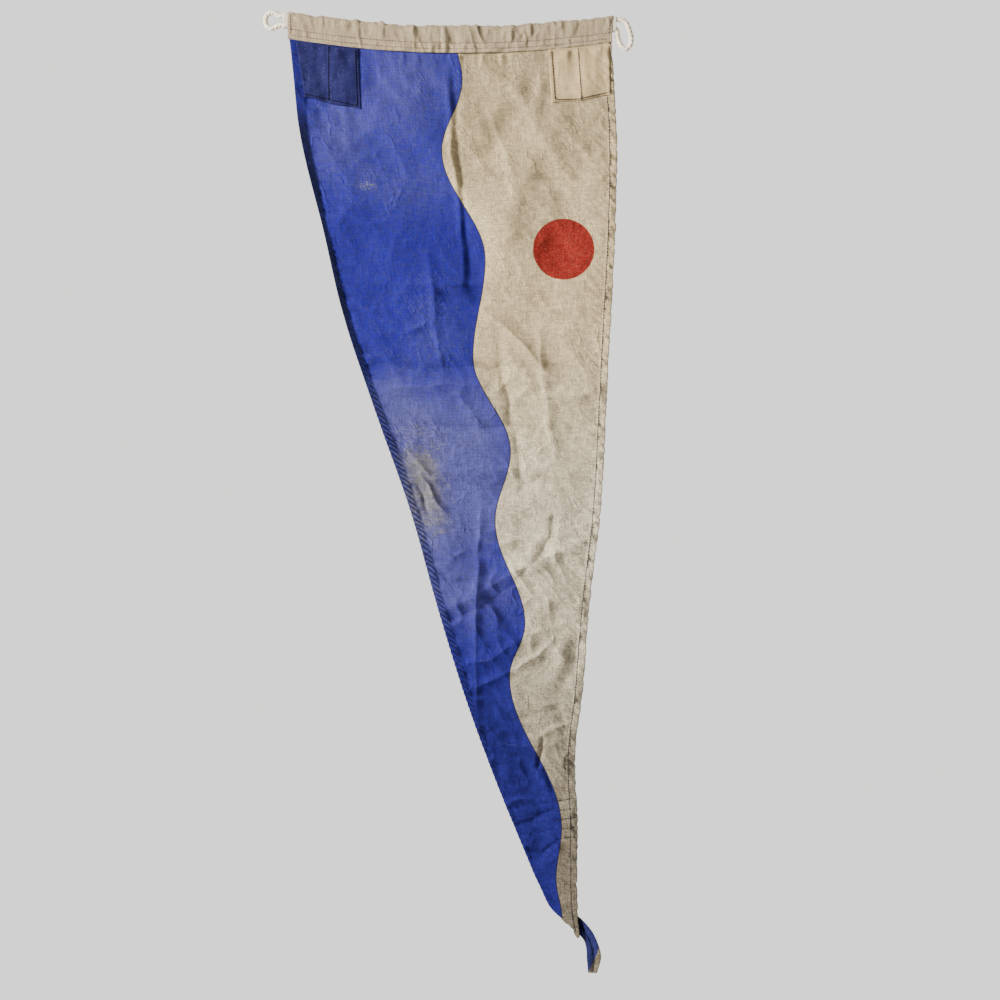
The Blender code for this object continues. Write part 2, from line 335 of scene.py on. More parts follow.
def nodePoints(name):
    mesh = frame["nodes"][name].data
    points = np.empty(len(mesh.vertices) * 3, np.float32)
    mesh.vertices.foreach_get("co", points)
    return points.reshape(-1, 3).astype(float)


flyNodes = ("fly_upper", "fly_middle", "fly_lower", "fly_end")
flyPoints = np.vstack([nodePoints(name) for name in flyNodes])
seamPoints = flyPoints[flyPoints[:, 2] > -0.02]
seamFit = np.polyfit(seamPoints[:, 0], seamPoints[:, 2], 2)
ropePoints = nodePoints("hoist_rope")
ropeFit = np.polyfit(ropePoints[:, 0], ropePoints[:, 2], 2)
sleeveLow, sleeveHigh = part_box("heading_sleeve")
midY = (sleeveLow.y + sleeveHigh.y) / 2


def seamLine(x):
    return np.polyval(seamFit, x)


def ropeLine(x):
    return np.polyval(ropeFit, x)


levels = np.unique(np.round(flyPoints[flyPoints[:, 2] < -0.02][:, 2], 4))
leftSpots = [flyPoints[abs(flyPoints[:, 2] - z) < 2e-4][:, 0].min() for z in levels]
rightSpots = [flyPoints[abs(flyPoints[:, 2] - z) < 2e-4][:, 0].max() for z in levels]
levels = np.append(levels, 0.0)
leftSpots = np.append(leftSpots, seamPoints[:, 0].min())
rightSpots = np.append(rightSpots, seamPoints[:, 0].max())


def leftEdge(z):
    return np.interp(z, levels, leftSpots)


def rightEdge(z):
    return np.interp(z, levels, rightSpots)


# printed cotton: where the print, the folds and the wear lie, in metres
cloth = {
    "top": -0.0122, "end": -0.940, "rowStep": 0.0013, "columns": 176,
    "frontGap": 0.0005, "rollRadius": 0.0013, "turnedBack": 0.008, "hemGrid": 0.0105, "hemColumns": 9,
    "seamFade": 0.09, "hemStitch": 0.0082, "hemAllowance": 0.018,
    # how wide the rolled left hem is at each height
    "hemLevels": (-0.920, -0.840, -0.780, -0.700, -0.450, -0.270, -0.205, -0.155, -0.050),
    "hemWidths": (0.0036, 0.0045, 0.0056, 0.0090, 0.0098, 0.0072, 0.0054, 0.0083, 0.0122),
}

# the tip doubles back on a slant and its end comes out behind the right hem: both edges, (x, z)
tail = {
    "leftEdge": ((0.1108, -0.9610), (0.1238, -0.9733), (0.1330, -0.9700), (0.1428, -0.9728),
                 (0.1570, -0.9880), (0.1648, -1.0040), (0.1676, -1.0180), (0.1630, -1.0350)),
    "rightEdge": ((0.1420, -0.9720), (0.1440, -0.9950), (0.1405, -0.9850), (0.1428, -0.9915),
                  (0.1488, -0.9995), (0.1512, -1.0090), (0.1518, -1.0210), (0.1532, -1.0346)),
    "foldAt": 2, "behind": 0.0042, "steps": 16,
    # the colours part again along this line, and the part tucked in behind the hem is in the dark
    "printLine": ((0.1534, -1.0336), (0.1552, -1.0301), (0.1593, -1.0218), (0.1623, -1.0148),
                  (0.1646, -1.0076), (0.1700, -1.0040)),
    "darkLine": ((0.1510, -1.0010), (0.1502, -0.9920), (0.1469, -0.9785), (0.1440, -0.9700)),
    "threads": ((0.1638, -1.0135), (0.1620, -1.0225), (0.1600, -1.0300)),
}

# turning points of the line between the two colours, (x, z)
wave = (
    (0.0055, 0.004), (0.0135, -0.045), (-0.009, -0.124), (0.039, -0.244), (0.0255, -0.352), (0.067, -0.457),
    (0.050, -0.534), (0.083, -0.648), (0.066, -0.706), (0.1235, -0.874), (0.1175, -0.930), (0.124, -0.975),
)

# broad soft folds: points, height towards the front, spread
drapes = (
    (((-0.062, -0.020), (-0.045, -0.050), (-0.018, -0.062)), 0.0026, 0.013),
    (((-0.088, -0.015), (-0.076, -0.060), (-0.048, -0.088)), -0.0022, 0.014),
    (((-0.022, -0.018), (-0.012, -0.045), (0.010, -0.062)), 0.0022, 0.011),
    (((0.033, -0.015), (0.045, -0.040), (0.072, -0.056), (0.097, -0.092)), 0.0030, 0.013),
    (((0.058, -0.012), (0.080, -0.030), (0.106, -0.042)), -0.0028, 0.012),
    (((0.096, -0.012), (0.101, -0.050), (0.090, -0.100)), 0.0020, 0.012),
    (((0.020, -0.070), (0.050, -0.100), (0.090, -0.115), (0.120, -0.150)), -0.0024, 0.016),
    (((0.012, -0.150), (0.050, -0.136), (0.086, -0.150)), 0.0020, 0.013),
    (((-0.150, -0.020), (-0.140, -0.060), (-0.142, -0.110)), -0.0018, 0.011),
    (((-0.112, -0.020), (-0.118, -0.070), (-0.108, -0.125)), 0.0018, 0.011),
    (((-0.165, -0.03), (-0.10, -0.12), (-0.01, -0.19), (0.05, -0.27)), -0.0034, 0.034),
    (((-0.12, -0.02), (-0.04, -0.10), (0.03, -0.17), (0.08, -0.25)), 0.0030, 0.030),
    (((-0.15, -0.16), (-0.09, -0.22), (-0.02, -0.28), (0.02, -0.36)), 0.0028, 0.032),
    (((0.165, -0.03), (0.10, -0.12), (0.06, -0.20), (0.05, -0.29)), 0.0030, 0.028),
    (((0.12, -0.03), (0.06, -0.10), (0.02, -0.16)), -0.0022, 0.022),
    (((0.15, -0.12), (0.12, -0.22), (0.09, -0.33)), -0.0020, 0.026),
    (((0.012, -0.20), (0.022, -0.25), (0.034, -0.30)), -0.0024, 0.014),
    (((-0.03, -0.36), (0.03, -0.42), (0.09, -0.45), (0.15, -0.50)), 0.0028, 0.030),
    (((-0.05, -0.44), (0.00, -0.50), (0.05, -0.57), (0.07, -0.66)), -0.0026, 0.030),
    (((0.14, -0.46), (0.11, -0.55), (0.07, -0.61), (0.02, -0.65)), 0.0022, 0.026),
    (((0.143, -0.668), (0.135, -0.700), (0.117, -0.722)), -0.0024, 0.011),
    (((0.130, -0.655), (0.122, -0.690), (0.108, -0.712)), 0.0018, 0.011),
    (((0.079, -0.788), (0.092, -0.818), (0.104, -0.842)), -0.0020, 0.010),
    (((0.02, -0.70), (0.07, -0.78), (0.10, -0.86)), -0.0024, 0.022),
)

# pressed creases: points, height, spread of the flanks, how worn
creases = (
    (((0.036, -0.298), (0.052, -0.312), (0.078, -0.338), (0.116, -0.376)), 0.0026, 0.014, 0.7),
    (((0.026, -0.356), (0.050, -0.364), (0.074, -0.372)), -0.0013, 0.010, 0.6),
    (((0.060, -0.283), (0.100, -0.300), (0.160, -0.296)), 0.0012, 0.013, 0.4),
    (((-0.012, -0.474), (0.020, -0.484), (0.054, -0.490)), 0.0017, 0.009, 0.9),
    (((-0.12, -0.266), (-0.03, -0.272), (0.06, -0.268), (0.165, -0.276)), 0.0016, 0.022, 0.5),
    (((-0.10, -0.358), (-0.01, -0.364), (0.07, -0.360), (0.16, -0.366)), -0.0014, 0.020, 0.6),
    (((-0.085, -0.388), (0.00, -0.382), (0.05, -0.386)), 0.0013, 0.014, 0.9),
    (((0.05, -0.392), (0.10, -0.398), (0.165, -0.392)), 0.0014, 0.016, 0.6),
    (((-0.05, -0.424), (0.02, -0.431), (0.07, -0.428), (0.13, -0.436)), -0.0012, 0.014, 0.6),
    (((-0.045, -0.470), (0.01, -0.478), (0.08, -0.474), (0.15, -0.482)), 0.0015, 0.018, 0.8),
    (((0.035, -0.776), (0.08, -0.784), (0.125, -0.780)), 0.0015, 0.016, 0.7),
    (((-0.010, -0.638), (0.068, -0.591), (0.115, -0.570), (0.160, -0.550)), 0.0018, 0.020, 0.9),
    (((-0.010, -0.652), (0.045, -0.622), (0.075, -0.600)), -0.0010, 0.012, 0.3),
    (((0.010, -0.696), (0.045, -0.684), (0.078, -0.667)), 0.0019, 0.013, 0.8),
    (((0.016, -0.724), (0.045, -0.712), (0.068, -0.699)), 0.0017, 0.012, 0.7),
    (((-0.003, -0.022), (0.003, -0.129), (0.011, -0.199), (0.0155, -0.274)), 0.0013, 0.009, 0.7),
    (((0.003, -0.022), (0.009, -0.129), (0.017, -0.199), (0.0215, -0.274)), -0.0010, 0.007, 0.3),
    (((-0.027, -0.235), (-0.017, -0.30), (-0.009, -0.370)), 0.0012, 0.010, 0.6),
    (((0.036, -0.507), (0.030, -0.600), (0.028, -0.677), (0.030, -0.776)), 0.0013, 0.010, 0.8),
    (((0.050, -0.319), (0.066, -0.41), (0.082, -0.502)), -0.0014, 0.012, 0.7),
    (((0.098, -0.322), (0.107, -0.39), (0.118, -0.465)), 0.0013, 0.012, 0.7),
    (((0.118, -0.516), (0.112, -0.545), (0.104, -0.568), (0.072, -0.600)), -0.0017, 0.014, 0.5),
    (((0.102, -0.772), (0.101, -0.793), (0.098, -0.808)), -0.0022, 0.006, 0.2),
    (((0.105, -0.793), (0.117, -0.810), (0.130, -0.826)), 0.0022, 0.008, 0.7),
    (((0.103, -0.806), (0.110, -0.822), (0.116, -0.836)), -0.0018, 0.007, 0.1),
    (((0.0855, -0.778), (0.101, -0.772), (0.136, -0.754)), 0.0016, 0.009, 0.5),
    (((0.070, -0.698), (0.096, -0.685), (0.112, -0.670), (0.118, -0.660)), 0.0017, 0.009, 0.8),
    (((0.062, -0.872), (0.090, -0.866), (0.118, -0.852)), -0.0017, 0.008, 0.2),
    (((0.052, -0.850), (0.080, -0.842), (0.110, -0.846)), 0.0013, 0.008, 0.6),
    (((0.080, -0.898), (0.102, -0.903), (0.124, -0.886)), -0.0011, 0.007, 0.4),
    (((0.088, -0.730), (0.100, -0.738), (0.122, -0.733)), 0.0011, 0.009, 0.4),
    (((0.112, -0.735), (0.122, -0.745), (0.128, -0.765)), -0.0011, 0.009, 0.3),
    (((0.098, -0.600), (0.108, -0.622), (0.110, -0.645)), 0.0011, 0.010, 0.4),
    (((-0.036, -0.478), (-0.022, -0.494), (-0.016, -0.512), (-0.006, -0.526)), 0.0022, 0.007, 1.0),
    (((-0.050, -0.452), (-0.034, -0.470), (-0.020, -0.484), (0.006, -0.490)), 0.0016, 0.007, 1.0),
    (((-0.040, -0.490), (-0.030, -0.505), (-0.024, -0.530)), -0.0016, 0.007, 0.6),
    (((-0.020, -0.560), (0.004, -0.572), (0.020, -0.566)), 0.0012, 0.008, 0.9),
    (((-0.018, -0.585), (0.000, -0.600), (0.024, -0.604)), -0.0011, 0.009, 0.6),
    (((-0.09, -0.30), (-0.05, -0.325), (-0.02, -0.315)), 0.0013, 0.013, 0.5),
    (((0.030, -0.545), (0.055, -0.560), (0.080, -0.552)), 0.0013, 0.011, 0.6),
    (((0.075, -0.500), (0.100, -0.485), (0.135, -0.500)), -0.0013, 0.012, 0.5),
    (((0.050, -0.735), (0.072, -0.752), (0.095, -0.750)), -0.0014, 0.010, 0.6),
    (((-0.13, -0.185), (-0.09, -0.205), (-0.04, -0.200)), 0.0010, 0.014, 0.4),
    (((0.040, -0.075), (0.060, -0.120), (0.075, -0.180)), 0.0010, 0.012, 0.3),
    (((0.035, -0.148), (0.085, -0.156), (0.150, -0.150)), -0.0010, 0.014, 0.3),
)

# faded, stained and deep-coloured places: middle, half sizes, amount
fadedSpots = (
    ((-0.050, -0.045), (0.070, 0.085), 0.50), ((0.010, -0.470), (0.075, 0.085), 0.95),
    ((-0.020, -0.560), (0.070, 0.080), 0.55), ((-0.125, -0.110), (0.035, 0.055), 0.42),
    ((-0.060, -0.405), (0.035, 0.035), 0.55), ((0.015, -0.620), (0.050, 0.035), 0.45),
    ((-0.040, -0.165), (0.060, 0.030), 0.30), ((-0.020, -0.330), (0.030, 0.050), 0.18),
)
deepSpots = (
    ((0.060, -0.760), (0.090, 0.110), 0.85), ((0.110, -0.900), (0.060, 0.080), 0.80),
    ((0.000, -0.110), (0.022, 0.040), 0.45), ((0.025, -0.250), (0.020, 0.060), 0.50),
    ((-0.120, -0.235), (0.050, 0.060), 0.35),
)
stainSpots = (
    ((-0.026, -0.500), (0.026, 0.044), 0.85), ((-0.036, -0.466), (0.016, 0.022), 0.5),
    ((-0.092, -0.162), (0.022, 0.008), 0.34), ((-0.012, -0.530), (0.016, 0.024), 0.4),
    ((0.030, -0.440), (0.050, 0.020), 0.20), ((-0.045, -0.430), (0.03, 0.03), 0.2),
)


def spots(x, z, places):
    total = np.zeros(x.shape)
    for (cx, cz), (sx, sz), amount in places:
        bent = ripple(x / 0.03, z / 0.03, 5) * 0.35
        total += amount * np.exp(-(((x - cx) / sx) ** 2 + ((z - cz) / sz) ** 2) * (1 + bent))
    return np.clip(total, 0, 1)


def waveSide(x, z):
    # distance to the right of the line between the colours
    heights = np.array([p[1] for p in wave[::-1]])
    spotsX = np.array([p[0] for p in wave[::-1]])
    k = np.clip(np.searchsorted(heights, z) - 1, 0, len(heights) - 2)
    span = heights[k + 1] - heights[k]
    t = np.clip((z - heights[k]) / span, 0, 1)
    rise = spotsX[k + 1] - spotsX[k]
    middle = spotsX[k] + rise * (1 - np.cos(math.pi * t)) / 2
    slope = rise * np.sin(math.pi * t) * math.pi / 2 / span
    return (x - middle) / np.sqrt(1 + slope * slope)


def hemWidth(z):
    return np.interp(z, cloth["hemLevels"], cloth["hemWidths"])


# five rows of stitching across the tip, on a slant
tipRows = {"count": 5, "top": -0.8425, "spacing": 0.0105, "length": 0.024, "slant": 0.16, "levelAt": 0.13}


def tipRowHeight(k, x):
    return tipRows["top"] - k * tipRows["spacing"] + tipRows["slant"] * (x - tipRows["levelAt"])


def clothRelief(x, z):
    # how far the front of the cloth stands towards the viewer, and how creased it is
    bentX = x + 0.0022 * ripple(x / 0.021, z / 0.021, 11)
    bentZ = z + 0.0022 * ripple(x / 0.023, z / 0.023, 12)
    height = np.zeros(x.shape)
    worn = np.zeros(x.shape)
    for points, rise, spread in drapes:
        away, along = reach(bentX, bentZ, points)
        ends = np.sin(math.pi * np.clip(along * 0.94 + 0.03, 0, 1)) ** 0.7
        height += 1.5 * rise * np.exp(-(away / (0.68 * spread)) ** 2) * ends
    for points, rise, spread, wear in creases:
        away, along = reach(bentX, bentZ, points)
        ends = np.sin(math.pi * np.clip(along * 0.96 + 0.02, 0, 1)) ** 0.5
        tent = np.maximum(0, 1 - np.sqrt(away ** 2 + 0.0006 ** 2) / spread)
        height += 2.5 * rise * tent * tent * ends
        worn = np.maximum(worn, wear * np.exp(-(away / 0.0013) ** 2) * ends)
    turnedX = x * 0.82 + z * 0.57
    turnedZ = z * 0.82 - x * 0.57
    crumple = 1 - 2 * abs(ripple(turnedX / 0.034, turnedZ / 0.062, 21))
    fine = 1 - 2 * abs(ripple(turnedX / 0.015 + 3, turnedZ / 0.021, 22))
    patchy = smooth(-0.4, 0.6, ripple(x / 0.08, z / 0.08, 23))
    lower = smooth(-0.46, -0.64, z)
    height += 0.0019 * crumple * (1 + 0.5 * lower)
    height += 0.00085 * fine * (0.4 + 0.8 * patchy) * (1 + 1.3 * lower)
    height += 0.00030 * ripple(x / 0.006, z / 0.008, 24)
    worn = np.maximum(worn, 0.35 * smooth(0.90, 1.0, fine) * patchy)
    below = np.maximum(0, seamLine(x) - z)
    height *= smooth(-0.002, 0.045, below)
    puckers = np.maximum(0, ripple(x / 0.0052, below / 0.03, 31))
    height += 0.0026 * puckers * np.exp(-below / 0.020) * smooth(0.0, 0.004, below)
    gathers = ripple(x / 0.0125, below / 0.05, 32) * np.exp(-below / 0.045)
    height += 0.0024 * gathers * smooth(0.0, 0.012, below)
    fromLeft = x - leftEdge(z)
    fromRight = rightEdge(z) - x
    narrow = np.clip((rightEdge(z) - leftEdge(z)) / 0.06, 0.2, 1)
    width = hemWidth(z)
    leftHem = smooth(width * 1.18, width * 0.82, fromLeft)
    uneven = (0.55 + 0.45 * ripple(z / 0.028, x * 0 + 3.3, 44)) * (0.25 + 0.75 * smooth(-0.10, -0.24, z))
    wobble = 1.9 * ripple(z / 0.013, x * 0, 41)
    twist = 0.5 + 0.5 * np.cos(2 * math.pi * (z + 0.85 * fromLeft) / 0.0064 + wobble)
    height += leftHem * (0.0007 + 0.0016 * twist * uneven) * (1 - 0.6 * smooth(-0.62, -0.80, z)) * narrow
    inwards = np.exp(-np.maximum(0, fromLeft - width) / 0.012) * (1 - leftHem)
    height += 0.0012 * inwards * ripple(z / 0.0055, fromLeft / 0.02, 42) * narrow
    rightHem = smooth(0.0102, 0.0086, fromRight)
    pucker = ripple((z - 0.7 * fromRight) / 0.0046, fromRight / 0.010, 43)
    pulled = np.exp(-((fromRight - cloth["hemStitch"]) / 0.0017) ** 2)
    height += rightHem * (0.0009 + 0.0022 * pucker * (1 - 0.9 * pulled)) * narrow
    height -= 0.0004 * pulled * narrow
    inwards = np.exp(-np.maximum(0, fromRight - 0.010) / 0.014) * (1 - rightHem)
    height += 0.0014 * inwards * pucker * narrow * (1 - 0.9 * pulled)
    for k in range(tipRows["count"]):
        groove = np.exp(-((z - tipRowHeight(k, x)) / 0.0016) ** 2)
        height += (0.0004 * ripple(x / 0.0035, z / 0.004, 51 + k) - 0.0005) * groove
    # the left hem is its own near-black navy above, and further down only the troughs of its puckers are
    # dark, with painted shade; the right hem's troughs get painted shade too
    solid = np.interp(z, (-0.92, -0.72, -0.55, -0.45, -0.36, -0.30), (0.0, 0.05, 0.22, 0.30, 0.75, 0.97))
    paintedTroughShade = (1 - twist) * np.interp(z, (-0.92, -0.74, -0.45), (0.35, 0.75, 0.92))
    dark = leftHem * (solid + (1 - solid) * paintedTroughShade) + 0.32 * rightHem * np.clip(-pucker, 0, 1)
    return height, np.clip(worn, 0, 1), np.clip(dark, 0, 1)


def blurred(grid, steps):
    # each value averaged with its neighbours up to so many steps away
    for axis in (0, 1):
        wide = np.pad(grid, [(steps + 1, steps) if k == axis else (0, 0) for k in (0, 1)], "edge")
        run = np.cumsum(wide, axis=axis)
        size = grid.shape[axis]
        far = np.take(run, range(2 * steps + 1, 2 * steps + 1 + size), axis)
        grid = (far - np.take(run, range(size), axis)) / (2 * steps + 1)
    return grid


def clothFront(x, z):
    x = np.asarray(x, float)
    z = np.asarray(z, float)
    return midY - cloth["frontGap"] - clothRelief(x, z)[0]


def buildCloth():
    rows = round((cloth["top"] - cloth["end"]) / cloth["rowStep"]) + 1
    level = np.linspace(cloth["top"], cloth["end"], rows)
    leftEnds = np.stack([leftEdge(level), level], axis=1)
    rightEnds = np.stack([rightEdge(level), level], axis=1)
    leftTail = smoothLine([tuple(leftEnds[-1])] + list(tail["leftEdge"]), tail["steps"])[1:]
    rightTail = smoothLine([tuple(rightEnds[-1])] + list(tail["rightEdge"]), tail["steps"])[1:]
    leftEnds = np.vstack([leftEnds, leftTail])
    rightEnds = np.vstack([rightEnds, rightTail])
    tailRows = np.concatenate([np.zeros(rows), np.arange(1, len(leftTail) + 1) / tail["steps"]])[:, None]
    turn = math.pi * smooth(tail["foldAt"] - 0.14, tail["foldAt"] + 0.24, tailRows)
    middle = (leftEnds + rightEnds)[rows - 1:] / 2
    fallen = np.cumsum(np.linalg.norm(np.diff(middle, axis=0), axis=1))
    level = np.concatenate([level, cloth["end"] - fallen])
    across = rightEnds - leftEnds
    width = np.linalg.norm(across, axis=1)[:, None]
    acrossX = across[:, :1] / width
    acrossZ = across[:, 1:] / width
    radius = np.minimum(cloth["rollRadius"], width * 0.07)
    hem = np.minimum(cloth["hemGrid"], width * 0.32)
    back = np.minimum(cloth["turnedBack"], width * 0.34)
    # columns from the left turned edge to the right one, as offsets from each edge
    arc = np.linspace(-math.pi / 2, math.pi / 2, 7)[1:-1]
    leftX, leftY = [], []
    for share in (1.0, 0.7, 0.4, 0.1):
        leftX.append(radius + back * share)
        leftY.append(radius * (1.9 - 0.9 * share ** 3))
    for angle in -arc:
        leftX.append(radius * (1 - math.cos(angle)))
        leftY.append(radius * (1 + math.sin(angle)))
    for share in np.linspace(0, 1, cloth["hemColumns"])[:-1]:
        leftX.append(radius + (hem - radius) * share)
        leftY.append(radius * 0)
    leftX = np.hstack(leftX)
    leftY = np.hstack(leftY)
    innerX = hem + (width - 2 * hem) * np.linspace(0, 1, cloth["columns"])[None, :]
    offX = np.hstack([leftX, innerX, width - leftX[:, ::-1]])
    offY = np.hstack([leftY, innerX * 0, leftY[:, ::-1]])
    flatX = leftEnds[:, :1] + acrossX * offX
    flatZ = leftEnds[:, 1:] + acrossZ * offX
    z = flatZ + (seamLine(flatX) - seamLine(0)) * (1 - smooth(0, cloth["seamFade"], cloth["top"] - flatZ))
    onTop = np.clip(offX, radius, width - radius)
    overX = leftEnds[:, :1] + acrossX * onTop
    relief, worn, dark = clothRelief(overX, z)
    # painted shade: how far each point lies below its blurred neighbours, used to darken the valleys of the
    # folds
    paintedCreaseShade = np.clip((blurred(blurred(relief, 3), 3) - relief) / 0.0005, -1, 1)
    inTail = smooth(0.9, 2.0, tailRows)
    folded = smooth(0.0, math.pi, turn)
    relief = relief * (1 - 0.8 * inTail)
    relief = relief + 0.0008 * inTail * ripple(onTop / 0.006, tailRows * 2.2 + 0 * onTop, 91)
    # the front faces the viewer until the fold, and away from them after it
    out = offY - relief
    settle = smooth(3.5, 7.0, tailRows)
    x = flatX + acrossZ * out * np.sin(turn)
    z = z - acrossX * out * np.sin(turn)
    y = midY - cloth["frontGap"] + out * np.cos(turn) + tail["behind"] * folded * (1 - 0.8 * settle)
    # a rolled hem is lumpy at its very edge
    lump = (0.5 - dark) * 0.0009 * np.exp(-offX / 0.004) * (1 - inTail) * smooth(-0.16, -0.40, z)
    pucker = 0.0007 * ripple(z / 0.0042, 0 * z, 43) * np.exp(-(width - offX) / 0.004) * (1 - inTail)
    x = x - lump + pucker
    points = np.stack([x, y, z], axis=2)
    side = waveSide(overX, z)
    lineX, lineZ = np.array(tail["printLine"]).T
    past = smooth(tail["foldAt"] + 0.22, tail["foldAt"] + 0.30, tailRows)
    side = np.where(past > 0.5, (x - np.interp(z, lineZ, lineX)) * 0.8, side)
    darkX, darkZ = np.array(tail["darkLine"]).T
    shadow = past * smooth(0.0006, -0.0006, x - np.interp(z, darkZ, darkX)) * smooth(-1.0015, -0.9990, z)
    return {
        "points": points, "normals": gridNormals(points), "level": level, "turn": turn[:, 0],
        "turnedColumns": leftX.shape[1],
        "lay": np.stack([flatX, flatZ - 0.05 * folded, relief], axis=2),
        # print holds the side of the colour line, the hem darkness (own navy with painted shade in its
        # troughs) and painted shade for the fold valleys
        "print": np.stack([side, dark * (1 - folded), paintedCreaseShade * (1 - folded)], axis=2),
        "wear": np.stack([spots(overX, z, places) for places in (fadedSpots, deepSpots, stainSpots)], axis=2),
        "folds": np.stack([worn * (1 - folded), np.broadcast_to(past, x.shape), shadow], axis=2),
    }


print("cloth materials")

# the plain printed disc and the colours of the cotton
disc = {"x": 0.126, "z": -0.2325, "radius": 0.034}
cotton = {
    "blue": (0.023, 0.019, 0.36, 1), "faded": (0.128, 0.130, 0.43, 1), "deep": (0.021, 0.020, 0.225, 1),
    "navy": (0.004, 0.006, 0.040, 1), "cream": (0.98, 0.77, 0.44, 1), "creamLow": (1.0, 0.87, 0.63, 1),
    "creamDark": (0.47, 0.37, 0.25, 1),
    "coral": (0.40, 0.024, 0.017, 1), "coralWorn": (0.56, 0.115, 0.075, 1),
    "bare": (0.280, 0.268, 0.245, 1),
    "reverse": (0.035, 0.042, 0.115, 1), "flecks": (0.40, 0.40, 0.42, 1),
    "pitch": 0.00085, "lineWidth": 0.0010,
}


def discMask(base, x, z, rough):
    # 1 inside the printed disc, with a slightly rough printed edge
    px = x - disc["x"]
    pz = z - disc["z"]
    away = base.sum("SQRT", px * px + pz * pz) + rough
    return away.ramp(disc["radius"] + 0.0004, disc["radius"] - 0.0004)


